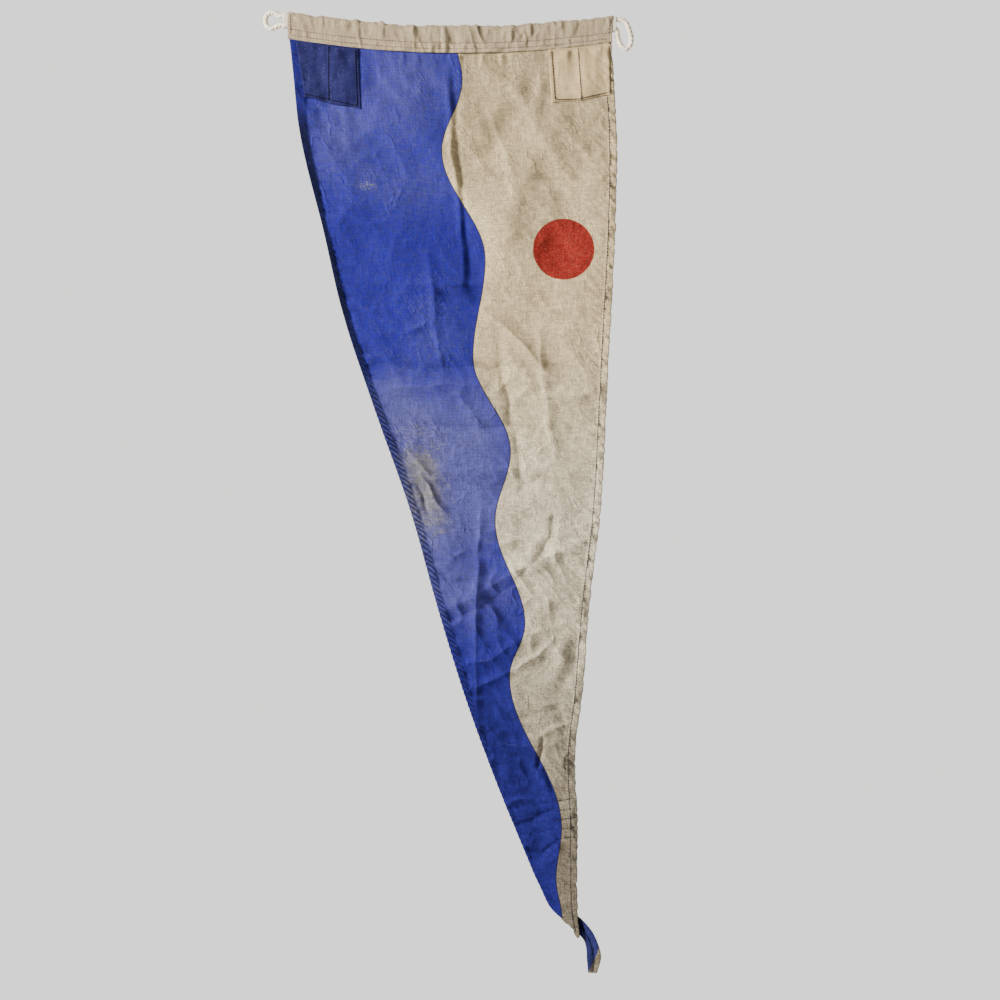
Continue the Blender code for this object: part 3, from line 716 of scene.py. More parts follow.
def makeCotton():
    material, tree, shader, base = newMaterial("printedCotton")
    x, z, _ = base.field("lay").split()
    # print brings the colour line, the hem darkness with its painted shade, and painted shade for the fold
    # valleys
    side, dark, paintedCreaseShade = base.field("print").split()
    fade, deep, stain = base.field("wear").split()
    worn, turnedOver, shadow = base.field("folds").split()
    place = base.joined(x, z)
    over, slub = weave(base, x, z, cotton["pitch"])
    broad = base.cloud(place, 14.0, 4.0, 0.6)
    mottle = base.cloud(place, 70.0, 5.0, 0.65)
    specks = base.cloud(place, 420.0, 3.0, 0.7)
    grain = base.cloud(place, 800.0, 3.0, 0.75)
    patina = base.cloud(place, 190.0, 3.0, 0.6)
    # the blue ground, faded and deepened in places, with worn threads all over
    fadeHere = fade * 1.10 + (broad - 0.5) * 0.55 * fade + (mottle - 0.5) * 0.5
    fadeHere = (fadeHere + (grain - 0.47) * 1.7 + (specks - 0.48) * 1.2 + (patina - 0.49) * 1.3).clamp()
    blue = fadeHere.over(cotton["blue"], cotton["faded"])
    blue = (deep * 1.1 + (mottle - 0.5) * 0.4).clamp().over(blue, cotton["deep"])
    blue = (worn * (0.25 + mottle)).ramp(0.25, 1.1).over(blue, cotton["faded"])
    bare = (stain * 1.1 + (mottle - 0.5) * 1.4 + (broad - 0.5) * 0.9 + (specks - 0.5) * 2.2).ramp(0.15, 1.5)
    blue = (bare * stain.ramp(0.0, 0.6) * 0.95).over(blue, cotton["bare"])
    fleck = specks.ramp(0.50, 0.62) * stain.ramp(0.12, 0.34) * mottle.ramp(0.42, 0.58) * 0.55
    fleck = (fleck + specks.ramp(0.70, 0.78) * mottle.ramp(0.60, 0.72) * 0.5).clamp()
    blue = fleck.over(blue, cotton["flecks"])
    blue = (turnedOver * 0.75).over(blue, cotton["reverse"])
    # the cream ground, browner in the creases and towards the tip and darker towards the tip, paler and
    # greyer further down with the paleness partly painted light, and with painted shade near the top
    brown = ((broad - 0.42) * 1.1 + (mottle - 0.5) * 0.5 + z.ramp(-0.55, -1.0) * 0.55).clamp()
    # paler, greyer cream from here down: the grey is the cloth's tone, the paleness partly painted light
    cream = z.ramp(-0.28, -0.56).over(cotton["cream"], cotton["creamLow"])
    cream = brown.over(cream, cotton["creamDark"])
    cream = z.ramp(-0.56, -0.92).shaded(cream, 0.58)
    # painted shade: the cream darkened towards the top, under the heading
    cream = (z.ramp(-0.20, -0.08) * (0.6 + broad * 0.8)).shaded(cream, 0.20)
    cream = (specks.ramp(0.40, 0.66) * mottle.ramp(0.35, 0.65) * z.ramp(-0.30, -0.62)).shaded(cream, 0.34)
    cream = (worn * (0.3 + mottle)).ramp(0.2, 1.2).shaded(cream, 0.30)
    # the disc, worn thin in places
    coral = (specks.ramp(0.44, 0.68) * 0.7 + worn * 0.3 + mottle.ramp(0.5, 0.8) * 0.3).clamp()
    coral = coral.over(cotton["coral"], cotton["coralWorn"])
    cream = discMask(base, x, z, (specks - 0.5) * 0.0012).over(cream, coral)
    # one meets the other at a thin dark line
    edge = side + (specks - 0.5) * 0.0006
    ground = edge.ramp(-0.0002, 0.0002).over(blue, cream)
    line = abs(edge - 0.0001).ramp(cotton["lineWidth"] / 2 + 0.0003, cotton["lineWidth"] / 2 - 0.0002)
    ground = (line * 0.85 * (1.0 - turnedOver)).over(ground, cotton["navy"])
    # dark navy hems with painted shade in their troughs, painted shade in the valleys of the folds, the
    # painted shadow of the tucked-in tip, then the weave's own tone
    # left hem: its own near-black navy, with painted shade in the troughs of its puckers further down
    hem = dark * side.ramp(0.002, -0.001) * (0.5 + z.ramp(-0.065, -0.105) * 0.5)
    ground = (hem * (1.0 - 0.25 * mottle.ramp(0.52, 0.75))).over(ground, cotton["navy"])
    # painted shade in the troughs of the right hem's puckers
    ground = (dark * side.ramp(-0.001, 0.001)).shaded(ground, 0.55)
    # painted shade in the valleys of the folds
    ground = paintedCreaseShade.clamp().shaded(ground, 0.13)
    ground = shadow.over(ground, cotton["navy"])
    ground = (over * 0.2 + slub.ramp(-0.25, 0.25) * 0.8 + specks.ramp(0.40, 0.62) * 0.5).shaded(ground, 0.30)
    ground = (grain.ramp(0.42, 0.58) * 0.6 + patina.ramp(0.36, 0.60) * 0.4).shaded(ground, 0.46)
    rough = 0.86 + (mottle - 0.5) * 0.12
    slanted = base.joined(x * 0.8 + z * 0.6, (z * 0.8 - x * 0.6) * 0.45)
    pinch = abs(base.cloud(slanted, 42.0, 3.0, 0.5) - 0.5).ramp(0.035, 0.0)
    pinch = pinch * base.cloud(place, 19.0, 2.0).ramp(0.46, 0.62)
    crinkle = abs(base.cloud(slanted, 120.0, 3.0, 0.55) - 0.5).ramp(0.09, 0.0) * mottle.ramp(0.36, 0.60)
    relief = over * 0.5 + slub * 0.9 + specks * 0.7 + patina * 1.6 + mottle * 1.6
    relief = relief + pinch * 3.0 + crinkle * 1.1
    bump = base.node("Bump", values={"Strength": 0.85, "Distance": 0.00048, "Height": relief})
    finishMaterial(tree, shader, ground, rough, bump)
    return material


def makePlainCloth(name, colours, pitch, settings):
    # an undyed or one-colour cloth: canvas, patches and thread
    material, tree, shader, base = newMaterial(name)
    x, z, _ = base.field("lay").split()
    place = base.joined(x, z)
    over, slub = weave(base, x, z, pitch)
    broad = base.cloud(place, settings["broad"], 4.0, 0.6)
    mottle = base.cloud(place, settings["mottle"], 5.0, 0.65)
    specks = base.cloud(place, 520.0, 3.0, 0.7)
    ground = ((broad - 0.35) * 1.4 + (mottle - 0.5) * 0.7).clamp().over(colours[0], colours[1])
    ground = (specks.ramp(0.50, 0.68) * 0.55 * mottle.ramp(0.38, 0.62)).over(ground, colours[2])
    grain = base.cloud(place, 800.0, 3.0, 0.75)
    ground = grain.ramp(0.38, 0.60).shaded(ground, settings["depth"])
    ground = (over * 0.3 + slub.ramp(-0.35, 0.35) * 0.5).shaded(ground, settings["depth"])
    rough = settings["rough"] + (mottle - 0.5) * 0.1
    relief = over * 0.8 + slub * 1.0 + specks * 0.35
    values = {"Strength": settings["bump"], "Distance": pitch * 0.4, "Height": relief}
    bump = base.node("Bump", values=values)
    finishMaterial(tree, shader, ground, rough, bump)
    return material


def makeFibre(name, colours, pitch, distance):
    # twisted fibre for the rope and threads; lay holds the way along and the turn
    material, tree, shader, base = newMaterial(name)
    along, turn, _ = base.field("lay").split()
    strand = base.sum("SINE", along * (2 * math.pi / pitch) + turn * 3.0)
    place = base.joined(along * 900.0, turn * 2.0)
    fibres = base.cloud(base.joined(along * 300.0 + turn * 0.6, turn * 9.0), 1.0, 4.0, 0.7)
    dirt = base.cloud(place, 0.06, 4.0, 0.6)
    ground = dirt.ramp(0.40, 0.66).over(colours[0], colours[1])
    ground = (fibres.ramp(0.42, 0.75) * 0.5).over(ground, colours[2])
    rough = 0.78 + (fibres - 0.5) * 0.2
    relief = strand * 0.5 + fibres
    bump = base.node("Bump", values={"Strength": 0.6, "Distance": distance, "Height": relief})
    finishMaterial(tree, shader, ground, rough, bump)
    return material


plain = {"broad": 26.0, "mottle": 110.0, "depth": 0.25, "rough": 0.86, "bump": 0.5}
coarse = {"broad": 34.0, "mottle": 210.0, "depth": 0.36, "rough": 0.9, "bump": 1.5}
printedCotton = makeCotton()
canvas = makePlainCloth(
    "headingCanvas", ((1.0, 0.81, 0.52, 1), (0.82, 0.60, 0.35, 1), (0.38, 0.26, 0.15, 1)), 0.0012, coarse)
bluePatch = makePlainCloth(
    "bluePatchCotton", ((0.013, 0.013, 0.082, 1), (0.030, 0.029, 0.120, 1), (0.085, 0.088, 0.19, 1)),
    cotton["pitch"], plain)
creamPatch = makePlainCloth(
    "creamPatchCotton", ((0.66, 0.49, 0.27, 1), (0.44, 0.32, 0.165, 1), (0.30, 0.22, 0.12, 1)),
    cotton["pitch"], plain)
ropeFibre = makeFibre(
    "ropeCotton", ((0.90, 0.80, 0.62, 1), (0.68, 0.56, 0.38, 1), (0.94, 0.87, 0.72, 1)), 0.0009, 0.0002)
darkThread = makeFibre(
    "darkThread", ((0.018, 0.018, 0.030, 1), (0.04, 0.035, 0.035, 1), (0.08, 0.07, 0.07, 1)), 0.0008, 0.00008)
navyThread = makeFibre(
    "navyThread", ((0.003, 0.003, 0.009, 1), (0.006, 0.006, 0.014, 1), (0.02, 0.02, 0.035, 1)),
    0.0008, 0.00008)
brownThread = makeFibre(
    "brownThread", ((0.16, 0.11, 0.075, 1), (0.24, 0.17, 0.11, 1), (0.34, 0.27, 0.19, 1)), 0.0008, 0.00008)
paleThread = makeFibre(
    "paleThread", ((0.74, 0.67, 0.55, 1), (0.55, 0.46, 0.34, 1), (0.82, 0.77, 0.68, 1)), 0.0008, 0.0001)


# real stitches: short threads that rise over the cloth and dip into it
stitch = {"radius": 0.00043, "long": 0.0027, "gap": 0.0008, "rise": 0.00030, "sink": 0.00035, "sides": 6}


def stitchRow(paths, front, size=1.0):
    # paths are lines on the cloth, front is the way the cloth faces there
    verts, faces, lay = [], [], []
    front = np.array(front, float)
    section = roundSection(stitch["radius"] * size, stitch["sides"])
    rng = np.random.default_rng(7)
    for path in paths:
        spotsOn, along = evenly(np.array(path, float), stitch["long"] + stitch["gap"])
        for a, b in zip(spotsOn, spotsOn[1:]):
            share = stitch["gap"] / (stitch["long"] + stitch["gap"]) / 2
            t = np.array([share, share + 0.10, 0.5, 0.90 - share, 1 - share])[:, None]
            skew = rng.uniform(-0.00012, 0.00012)
            up = np.array([-stitch["sink"], 0.4 * stitch["rise"], stitch["rise"], 0.4 * stitch["rise"],
                           -stitch["sink"]])[:, None]
            line = a + (b - a) * t + front * (up + skew)
            more, sides = sweep(line, section, len(verts))
            verts += more
            faces += sides
            count = stitch["sides"]
            lay += [(along[0] + k * 0.0006 + len(verts) * 0.00001, j * 2 * math.pi / count, 0)
                    for k in range(5) for j in range(count)]
    return verts, faces, np.array(lay)


def edgeLine(edge, offset, top, bottom, step=0.0018):
    # a line down the cloth at an offset from an edge, lying on its front
    z = np.arange(top, bottom - step / 2, -step)
    x = edge(z) + offset
    return np.stack([x, clothFront(x, z), z], axis=1)


def frontLine(points, step=0.004):
    # a line on the cloth's front through (x, z) points
    made = []
    for (ax, az), (bx, bz) in zip(points, points[1:]):
        t = np.linspace(0, 1, max(2, round(math.dist((ax, az), (bx, bz)) / step)))
        made += [(ax + (bx - ax) * s, az + (bz - az) * s) for s in t]
    made = np.array(made)
    keep = np.concatenate([[True], np.linalg.norm(np.diff(made, axis=0), axis=1) > 1e-6])
    made = made[keep]
    return np.stack([made[:, 0], clothFront(made[:, 0], made[:, 1]), made[:, 1]], axis=1)


print("rope loops")

# the rope's own loops at both ends of the heading
rope = {"radius": 0.0029, "strand": 0.60, "pitch": 0.0140, "step": 0.0007, "sides": 26, "inside": 0.0050}


def ropeSection(along, radius):
    turns = np.linspace(0, 2 * math.pi, rope["sides"], endpoint=False)
    size = radius * rope["strand"]
    off = radius - size

    def section(k):
        third = 2 * math.pi / 3
        phase = 2 * math.pi * along[k] / rope["pitch"]
        away = (turns + phase + third / 2) % third - third / 2
        long = off * np.cos(away) + np.sqrt(np.maximum(size ** 2 - (off * np.sin(away)) ** 2, 0))
        return list(zip(long * np.cos(turns), long * np.sin(turns)))
    return section


def ropePiece(name, path, radius):
    path, along = evenly(path, rope["step"])
    verts, faces = sweep(path, ropeSection(along, radius))
    turns = np.linspace(0, 2 * math.pi, rope["sides"], endpoint=False)
    lay = np.array([(s, t, 0) for s in along for t in turns])
    return makePiece(name, verts, faces, ropeFibre, lay), path


loops = {
    "left_loop": {
        "side": -1,
        "shape": ((0.0, 0.0051), (0.20, 0.0058), (0.52, 0.0087), (0.80, 0.0078), (0.97, 0.0041), (1.0, 0.0),
                  (0.97, -0.0041), (0.80, -0.0076), (0.52, -0.0086), (0.20, -0.0057), (0.0, -0.0051)),
        "out": 0.0180,
    },
    "right_loop": {
        "side": 1,
        "shape": ((0.0, 0.0051), (0.30, 0.0048), (0.68, 0.0010), (0.90, -0.0082), (1.0, -0.0158),
                  (0.92, -0.0234), (0.64, -0.0273), (0.32, -0.0234), (0.14, -0.0164), (0.07, -0.0098),
                  (0.0, -0.0051)),
        "out": 0.0167,
    },
}
for name, loop in loops.items():
    low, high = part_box(name)
    inner = high.x if loop["side"] < 0 else low.x
    pivotZ = next(j for j in frame["joints"] if j["name"] == name + "_swing")["pos_m"][2]
    route = [(inner + loop["side"] * out * loop["out"], midY, pivotZ + up) for out, up in loop["shape"]]
    tuck = -loop["side"] * rope["inside"]
    route = [(inner + tuck, midY, route[0][2])] + route + [(inner + tuck, midY, route[-1][2])]
    piece, path = ropePiece(name.replace("_loop", "RopeLoop"), smoothLine(route, 8), rope["radius"])
    length = float(np.linalg.norm(np.diff(path, axis=0), axis=1).sum())
    edge = inner + loop["side"] * 0.0006
    edge - loop["side"] * 0.002
    edge + loop["side"] * 0.003
    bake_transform(piece)
    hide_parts(name)


print("cloth")
made = buildCloth()

# the bands of cloth, each listed with its two neighbouring bodies; the tail is the last
bands = (
    {"name": "clothAtHeading", "bodies": ("heading", "upper_cloth"), "bottom": -0.143, "node": "fly_upper",
     "turns": (-0.002, -0.055), "threads": "stitchesAtHeading"},
    {"name": "clothUpper", "bodies": ("upper_cloth", "middle_cloth"), "bottom": -0.407, "node": "fly_middle",
     "turns": (-0.2218, -0.3218), "threads": "stitchesUpper"},
    {"name": "clothMiddle", "bodies": ("middle_cloth", "lower_cloth"), "bottom": -0.671, "node": "fly_lower",
     "turns": (-0.4930, -0.5930), "threads": "stitchesMiddle"},
    {"name": "clothLower", "bodies": ("lower_cloth", "end_cloth"), "bottom": -0.905, "node": "fly_end",
     "turns": (-0.7486, -0.8486), "threads": "stitchesLower"},
    {"name": "clothTail", "bodies": ("end_cloth", "tail"), "bottom": -9.0, "node": "fly_tail",
     "turns": (-0.966, -1.002), "threads": "stitchesTail"},
)
twist = next(j for j in frame["joints"] if j["name"] == "tail_twist")["pos_m"]
hemBottom = -0.938
patches = {
    "left": {"outline": ((-0.171, -0.1010), (-0.161, -0.0985)), "low": (-0.064, -0.0775), "fold": -0.1345},
    "right": {"outline": ((0.1088, 0.1765), (0.1127, 0.1775)), "low": (-0.0712, -0.0628), "fold": 0.142},
}


def patchLine(name, inset):
    # the stitched line round a patch, from the seam down, across and up again
    spec = patches[name]
    (topLeft, topRight), (lowLeft, lowRight) = spec["outline"]
    topZ = float(seamLine(topLeft)) - 0.002
    otherZ = float(seamLine(topRight)) - 0.002
    if name == "left":
        return [(topRight - inset, otherZ), (lowRight - inset, spec["low"][1] + inset),
                (lowLeft, spec["low"][0] + inset)]
    middle = (spec["fold"] + 0.002, spec["low"][0] + 0.001 + inset)
    return [(topLeft + inset, topZ), (lowLeft + inset, spec["low"][0] + inset), middle,
            (lowRight, spec["low"][1] + inset)]


def blendBand(piece, band):
    x = twist[0] if band["node"] == "fly_tail" else 0.0
    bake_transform(piece)


top = 0
for band in bands:
    inBand = np.nonzero(made["level"] >= band["bottom"])[0]
    last = int(inBand[-1]) + 1
    rows = slice(top, min(last + 1, len(made["level"])))
    points = made["points"][rows]
    count, columns = points.shape[:2]
    piece = makePiece(band["name"], points.reshape(-1, 3), gridFaces(count, columns), printedCotton,
                      made["lay"][rows].reshape(-1, 3))
    for field in ("print", "wear", "folds"):
        addField(piece, field, made[field][rows].reshape(-1, 3))
    piece.data.normals_split_custom_set_from_vertices(made["normals"][rows].reshape(-1, 3))
    flatZ = made["level"][rows]
    widths = np.maximum(rightEdge(flatZ) - leftEdge(flatZ), 0.012)
    hems = cloth["hemAllowance"]
    band["flat"] = (round(float(widths.max()) + hems, 3), round(float(flatZ[0] - flatZ[-1]), 3))
    band["area"] = float(np.abs(np.trapz(widths + np.minimum(hems, widths * 0.7), flatZ)))
    band["piece"] = piece
    band["top"] = float(flatZ[0])
    band["low"] = float(flatZ[-1])
    top = rows.stop - 1
    blendBand(piece, band)
    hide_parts(band["node"])

print("stitches")
for band in bands[:4]:
    upper = min(band["top"], -0.006)
    lower = max(band["low"], hemBottom)
    rightHem = edgeLine(rightEdge, -cloth["hemStitch"], upper, lower)
    verts, faces, lay = stitchRow([rightHem], (0, -1, 0))
    piece = makePiece(band["threads"], verts, faces, darkThread, lay)
    blendBand(piece, band)
    band["extras"] = [piece]
tipHem = np.nonzero((made["level"] < bands[4]["top"]) & (made["turn"] < 0.3))[0]
hemColumn = made["turnedColumns"] + cloth["columns"] + 2
tipLine = []
behind = made["points"][made["turn"] > 3.1].reshape(-1, 3)
for (ax, az), (bx, bz) in zip(tail["threads"], tail["threads"][1:]):
    for share in np.linspace(0, 1, 5):
        spot = np.array([ax + (bx - ax) * share, az + (bz - az) * share])
        nearest = np.linalg.norm(behind[:, [0, 2]] - spot, axis=1) < 0.0022
        tipLine.append((spot[0], np.percentile(behind[nearest, 1], 8) - 0.0001, spot[1]))
tipLine = np.array(tipLine)
apart = np.linalg.norm(np.diff(tipLine, axis=0), axis=1) > 1e-4
tipLine = tipLine[np.concatenate([[True], apart])]
verts, faces, lay = stitchRow([made["points"][tipHem, hemColumn], tipLine], (0, -1, 0))
piece = makePiece("stitchesTail", verts, faces, darkThread, lay)
blendBand(piece, bands[4])
bands[4]["extras"] = [piece]

# rows across the tip, dark on the cream
paths = []
for k in range(tipRows["count"]):
    right = float(rightEdge(tipRowHeight(k, tipRows["levelAt"]))) - 0.0005
    left = right - tipRows["length"] + 0.0012 * k
    paths.append(frontLine([(left, tipRowHeight(k, left)), (right - 0.002, tipRowHeight(k, right))], 0.002))
verts, faces, lay = stitchRow(paths, (0, -1, 0), 0.95)
piece = makePiece("tipStitches", verts, faces, darkThread, lay)
blendBand(piece, bands[3])
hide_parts(*[f"tip_stitching_{k}" for k in range(1, tipRows["count"] + 1)])
bands[3]["extras"].append(piece)


print("corner patches")
patchShape = {
    "grid": 0.0016, "rows": 46, "thickness": 0.0005, "rise": 0.00062, "turned": 0.0022, "fold": 0.0005,
}
for name, material, node, slotName in (
        ("left", bluePatch, "left_corner_patch", "blue_patch"),
        ("right", creamPatch, "right_corner_patch", "cream_patch")):
    spec = patches[name]
    (topLeft, topRight), (lowLeft, lowRight) = spec["outline"]
    across = round(abs(topRight - topLeft) / patchShape["grid"])
    u = np.linspace(0, 1, across)[None, :]
    v = np.linspace(0, 1, patchShape["rows"])[:, None]
    left = topLeft + (lowLeft - topLeft) * v
    right = topRight + (lowRight - topRight) * v
    x = left + (right - left) * u
    topZ = seamLine(x) + 0.0012
    lowZ = spec["low"][0] + (spec["low"][1] - spec["low"][0]) * u
    lowZ = lowZ + 0.0008 * np.sin(u * 9)
    z = topZ + (lowZ - topZ) * v
    freeSide = (right - x) if name == "left" else (x - left)
    edge = np.minimum(freeSide, z - lowZ)
    rise = patchShape["rise"] + 0.0004 * smooth(0, patchShape["turned"], edge) - 0.0002
    rise = rise + patchShape["fold"] * np.exp(-((x - spec["fold"] + 0.05 * z) / 0.0012) ** 2)
    rise = rise + 0.00028 * ripple(x / 0.004, z / 0.006, 61)
    rise = rise - 0.0003 * np.exp(-((edge - 0.004) / 0.001) ** 2)
    rise = np.maximum(rise, 0.00042)
    y = clothFront(x, z) - rise
    y = np.where(v < 0.08, np.maximum(y, midY - 0.0013), y)
    points = np.stack([x, y, z], axis=2)
    lay = np.stack([x, z, rise], axis=2)
    piece = thickPiece(name + "CornerPatch", points, patchShape["thickness"], material, lay)
    blendBand(piece, bands[0])
    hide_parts(node)
    line = frontLine(patchLine(name, 0.004), 0.003)
    line[:, 1] -= 0.0013
    fold = spec["fold"]
    foldEnd = (fold + 0.004, -0.069) if name == "right" else (fold, -0.066)
    foldLine = frontLine([(fold, float(seamLine(fold)) - 0.002), foldEnd], 0.003)
    foldLine[:, 1] -= 0.0016
    verts, faces, lay = stitchRow([line, foldLine], (0, -1, 0))
    threads = makePiece(name + "PatchStitches", verts, faces, navyThread, lay)
    blendBand(threads, bands[0])
    width = abs(topRight - topLeft)
    height = abs(float(seamLine(topLeft)) - spec["low"][0])
    round(height + 0.012, 3)

for band in bands:
    width, length = band["flat"]
    full = width * length
    area = min(full, max(0.31 * full, band["area"]))


print("heading")
heading = {
    "columns": 420, "radius": 0.00362, "thickness": 0.0008, "grip": 0.00125,
    # the share of the strip that lies flat in front or behind, and where the stitch rows cross it
    "flatShare": 0.36, "rows": (0.063, 0.155),
    "flatSteps": 22, "roundSteps": 15, "gather": 0.0026, "gatherReach": 0.120,
}


def headingPoints(x, share):
    # the canvas from the front's lower edge, up over the rope and down the back; share runs 0 to 1
    low = seamLine(x)
    high = ropeLine(x)
    flat = heading["flatShare"]
    front = np.clip(share / flat, 0, 1)
    rear = np.clip((1 - share) / flat, 0, 1)
    onFlat = np.where(share < 0.5, front, rear)
    side = np.where(share < 0.5, -1.0, 1.0)
    turn = np.clip((share - flat) / (1 - 2 * flat), 0, 1) * math.pi
    bulge = smooth(0.35, 1.0, onFlat)
    swell = heading["radius"] - heading["grip"] - 0.00045
    flatY = side * (heading["grip"] + 0.00045 * onFlat + swell * bulge)
    flatZ = low + (high - low) * onFlat
    overRope = (share > flat) & (share < 1 - flat)
    y = np.where(overRope, -heading["radius"] * np.cos(turn), flatY)
    z = np.where(overRope, high + heading["radius"] * np.sin(turn), flatZ)
    return y, z


def headingRelief(x, share):
    gathered = np.exp(-(x / heading["gatherReach"]) ** 2)
    lean = 0.6 * (share - 0.3)
    ridges = np.maximum(0, ripple(x / 0.0068 + lean, share * 3.0, 71)) ** 1.3
    small = ripple(x / 0.0032 + lean, share * 9.0, 72)
    bent = 1 - 2 * abs(ripple(x / 0.0085 + 2.5 * share, share * 5.0 - x / 0.02, 77))
    soft = np.maximum(0, ripple(x / 0.019 - lean, share * 2.2, 73))
    bumps = (0.25 + 0.9 * gathered) * heading["gather"] * ridges + 0.0012 * soft + 0.00050 * small
    bumps = bumps + (0.0004 + 0.0011 * gathered) * np.maximum(bent, -0.3)
    rows = sum(np.exp(-((share - at) / 0.016) ** 2) + np.exp(-((share - 1 + at) / 0.016) ** 2)
               for at in heading["rows"])
    rows = np.clip(rows, 0, 1)
    near = smooth(0.0, 0.05, share) * smooth(1.0, 0.95, share)
    return bumps * (0.25 + 0.75 * near) * (1 - 0.6 * rows) - 0.0002 * rows


def headingSurface(x, share):
    y, z = headingPoints(x, share)
    step = 1e-4
    y2, z2 = headingPoints(x, np.clip(share + step, 0, 1))
    y1, z1 = headingPoints(x, np.clip(share - step, 0, 1))
    length = np.maximum(np.hypot(y2 - y1, z2 - z1), 1e-9)
    outY = -(z2 - z1) / length
    outZ = (y2 - y1) / length
    bump = headingRelief(x, share)
    wavy = 0.0017 * ripple(x / 0.017, x * 0 + 0.5, 74) + 0.0006 * ripple(x / 0.006, x * 0 + 0.5, 75)
    upper = smooth(0.15, 0.45, 0.5 - abs(share - 0.5))
    return y + outY * bump, z + outZ * bump + np.maximum(wavy, -0.0001) * upper


sleeveLeft = sleeveLow.x
sleeveRight = sleeveHigh.x
x = np.linspace(sleeveLeft, sleeveRight, heading["columns"])[None, :]
flat = np.linspace(0, heading["flatShare"], heading["flatSteps"])
arc = np.linspace(heading["flatShare"], 1 - heading["flatShare"], heading["roundSteps"])[1:-1]
share = np.concatenate([flat, arc, 1 - flat[::-1]])[:, None]
x = np.broadcast_to(x, (share.shape[0], heading["columns"]))
share = np.broadcast_to(share, x.shape)
y, z = headingSurface(x, share)
endX = x + 0.0006 * ripple(z / 0.006, x * 0 + (x > 0) * 9.5, 76) * (np.abs(x) > 0.1795)
points = np.stack([endX, midY + y, z], axis=2)
lay = np.stack([x, share * 0.078, y], axis=2)
sleeve = thickPiece("headingSleeve", points[::-1], heading["thickness"], canvas, lay[::-1])
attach(sleeve, "heading")
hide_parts("heading_sleeve")


def headingRow(share, side, left=sleeveLeft + 0.003, right=sleeveRight - 0.003):
    across = np.arange(left, right, 0.002)
    spot = np.full(across.shape, share)
    y, z = headingSurface(across, spot)
    return np.stack([across, midY + y + side * heading["thickness"] / 2, z], axis=1)


def headingEnd(x, low, high, side):
    spot = np.linspace(low, high, 12)
    y, z = headingSurface(np.full(12, x), spot)
    return np.stack([np.full(12, x), midY + y + side * heading["thickness"] / 2, z], axis=1)


for k, share in enumerate(heading["rows"]):
    verts, faces, lay = stitchRow([headingRow(share, -1)], (0, -1, 0), 1.15)
    more, moreFaces, moreLay = stitchRow([headingRow(1 - share, 1)], (0, 1, 0), 1.0)
    faces += [tuple(len(verts) + i for i in face) for face in moreFaces]
    verts += more
    piece = makePiece(f"headingStitches{k + 1}", verts, faces, brownThread, np.vstack([lay, moreLay]))
    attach(piece, "heading")
    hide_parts(f"heading_seam_thread_{k + 1}")
verts, faces, lay = stitchRow([headingEnd(sleeveLeft + 0.0035, 0.08, 0.40, -1),
                               headingEnd(sleeveRight - 0.0035, 0.08, 0.40, -1)], (0, -1, 0), 1.0)
piece = makePiece("headingEndStitches", verts, faces, brownThread, lay)
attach(piece, "heading")

# the rope inside the heading
across = np.linspace(sleeveLeft + 0.0015, sleeveRight - 0.0015, 120)
inside = np.stack([across, np.full(120, midY), ropeLine(across)], axis=1)
hoist, _ = ropePiece("hoistRope", inside, rope["radius"])
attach(hoist, "heading")
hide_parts("hoist_rope")

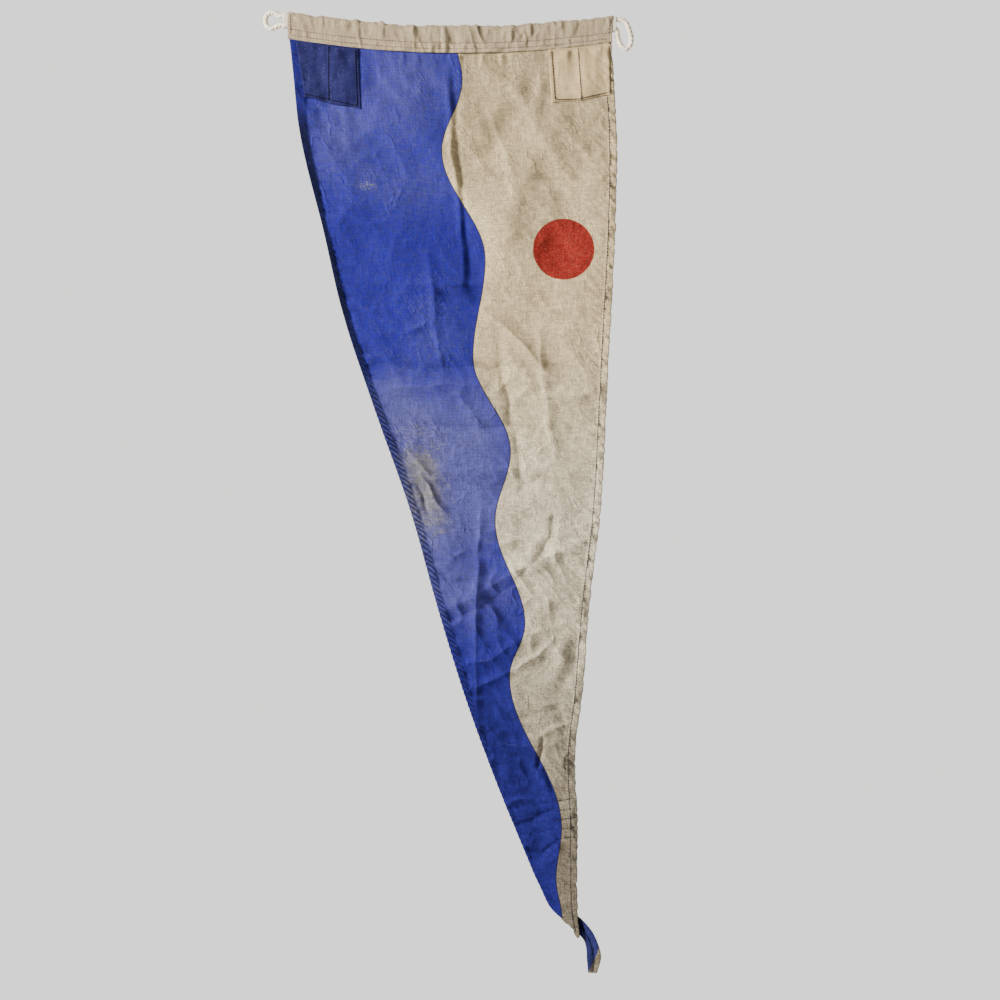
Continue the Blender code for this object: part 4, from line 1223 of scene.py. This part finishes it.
# seizings: thread wound round both legs of each loop
seizing = {"radius": 0.00052, "turns": 6, "high": 0.0086, "deep": 0.0035}
for side, name in ((-1, "left_loop_seizing"), (1, "right_loop_seizing")):
    low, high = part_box(name)
    middleZ = (low.z + high.z) / 2
    inner, outer = (high.x, low.x) if side < 0 else (low.x, high.x)
    inner = inner - side * 0.001
    t = np.linspace(0, 1, seizing["turns"] * 40)
    turn = t * seizing["turns"] * 2 * math.pi
    stretch = seizing["high"] - seizing["deep"]
    y = seizing["deep"] * np.sin(turn)
    z = middleZ + np.clip(np.cos(turn) * 1.6, -1, 1) * stretch + seizing["deep"] * np.cos(turn)
    x = inner + (outer - inner) * t + 0.0002 * np.sin(turn * 3.7)
    path, along = evenly(np.stack([x, midY + y, z], axis=1), 0.0006)
    section = roundSection(seizing["radius"], 8)
    verts, faces = sweep(path, section)
    lay = np.array([(s, k * math.pi / 4, 0) for s in along for k in range(8)])
    piece = makePiece(name.split("_")[0] + "Seizing", verts, faces, paleThread, lay)
    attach(piece, "heading")
    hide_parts(name)

print("light and floor")
stageSettings = {"floorHeight": -1.25, "world": 0.36, "backdrop": 1.45}
corners = [(-1.2, -1.1), (1.2, -1.1), (1.2, 0.8), (-1.2, 0.8)]
floorMesh = bpy.data.meshes.new("floor")
floorMesh.from_pydata([(a, b, stageSettings["floorHeight"]) for a, b in corners], [], [(0, 1, 2, 3)])
floorPaint, _, shader, _ = newMaterial("palePaint")
shader.inputs["Base Color"].default_value = (0.78, 0.77, 0.75, 1)
shader.inputs["Roughness"].default_value = 0.9
floorMesh.materials.append(floorPaint)
floor = bpy.data.objects.new("floor", floorMesh)
bpy.context.scene.collection.objects.link(floor)

world = bpy.data.worlds.new("paleRoom")
world.use_nodes = True
backdrop = next(node for node in world.node_tree.nodes if node.type == "BACKGROUND")
backdrop.inputs["Color"].default_value = (1.0, 0.99, 0.975, 1)
seen = Strand(world.node_tree).node("LightPath")
brightness = seen * (stageSettings["backdrop"] - stageSettings["world"]) + stageSettings["world"]
world.node_tree.links.new(brightness.socket, backdrop.inputs["Strength"])
bpy.context.scene.world = world


def addLight(name, place, target, size, power, colour):
    data = bpy.data.lights.new(name, "AREA")
    data.shape = "RECTANGLE"
    data.size, data.size_y = size
    data.energy = power
    data.color = colour
    item = bpy.data.objects.new(name, data)
    item.location = place
    item.rotation_euler = (Vector(target) - Vector(place)).to_track_quat("-Z", "Y").to_euler()
    bpy.context.scene.collection.objects.link(item)


addLight("windowLight", (-2.3, -1.35, 0.65), (0.0, 0.0, -0.45), (0.8, 0.9), 296, (1.0, 0.97, 0.93))
addLight("roomFill", (1.9, -2.6, 0.2), (0.0, 0.0, -0.5), (1.6, 1.8), 14, (0.95, 0.97, 1.0))
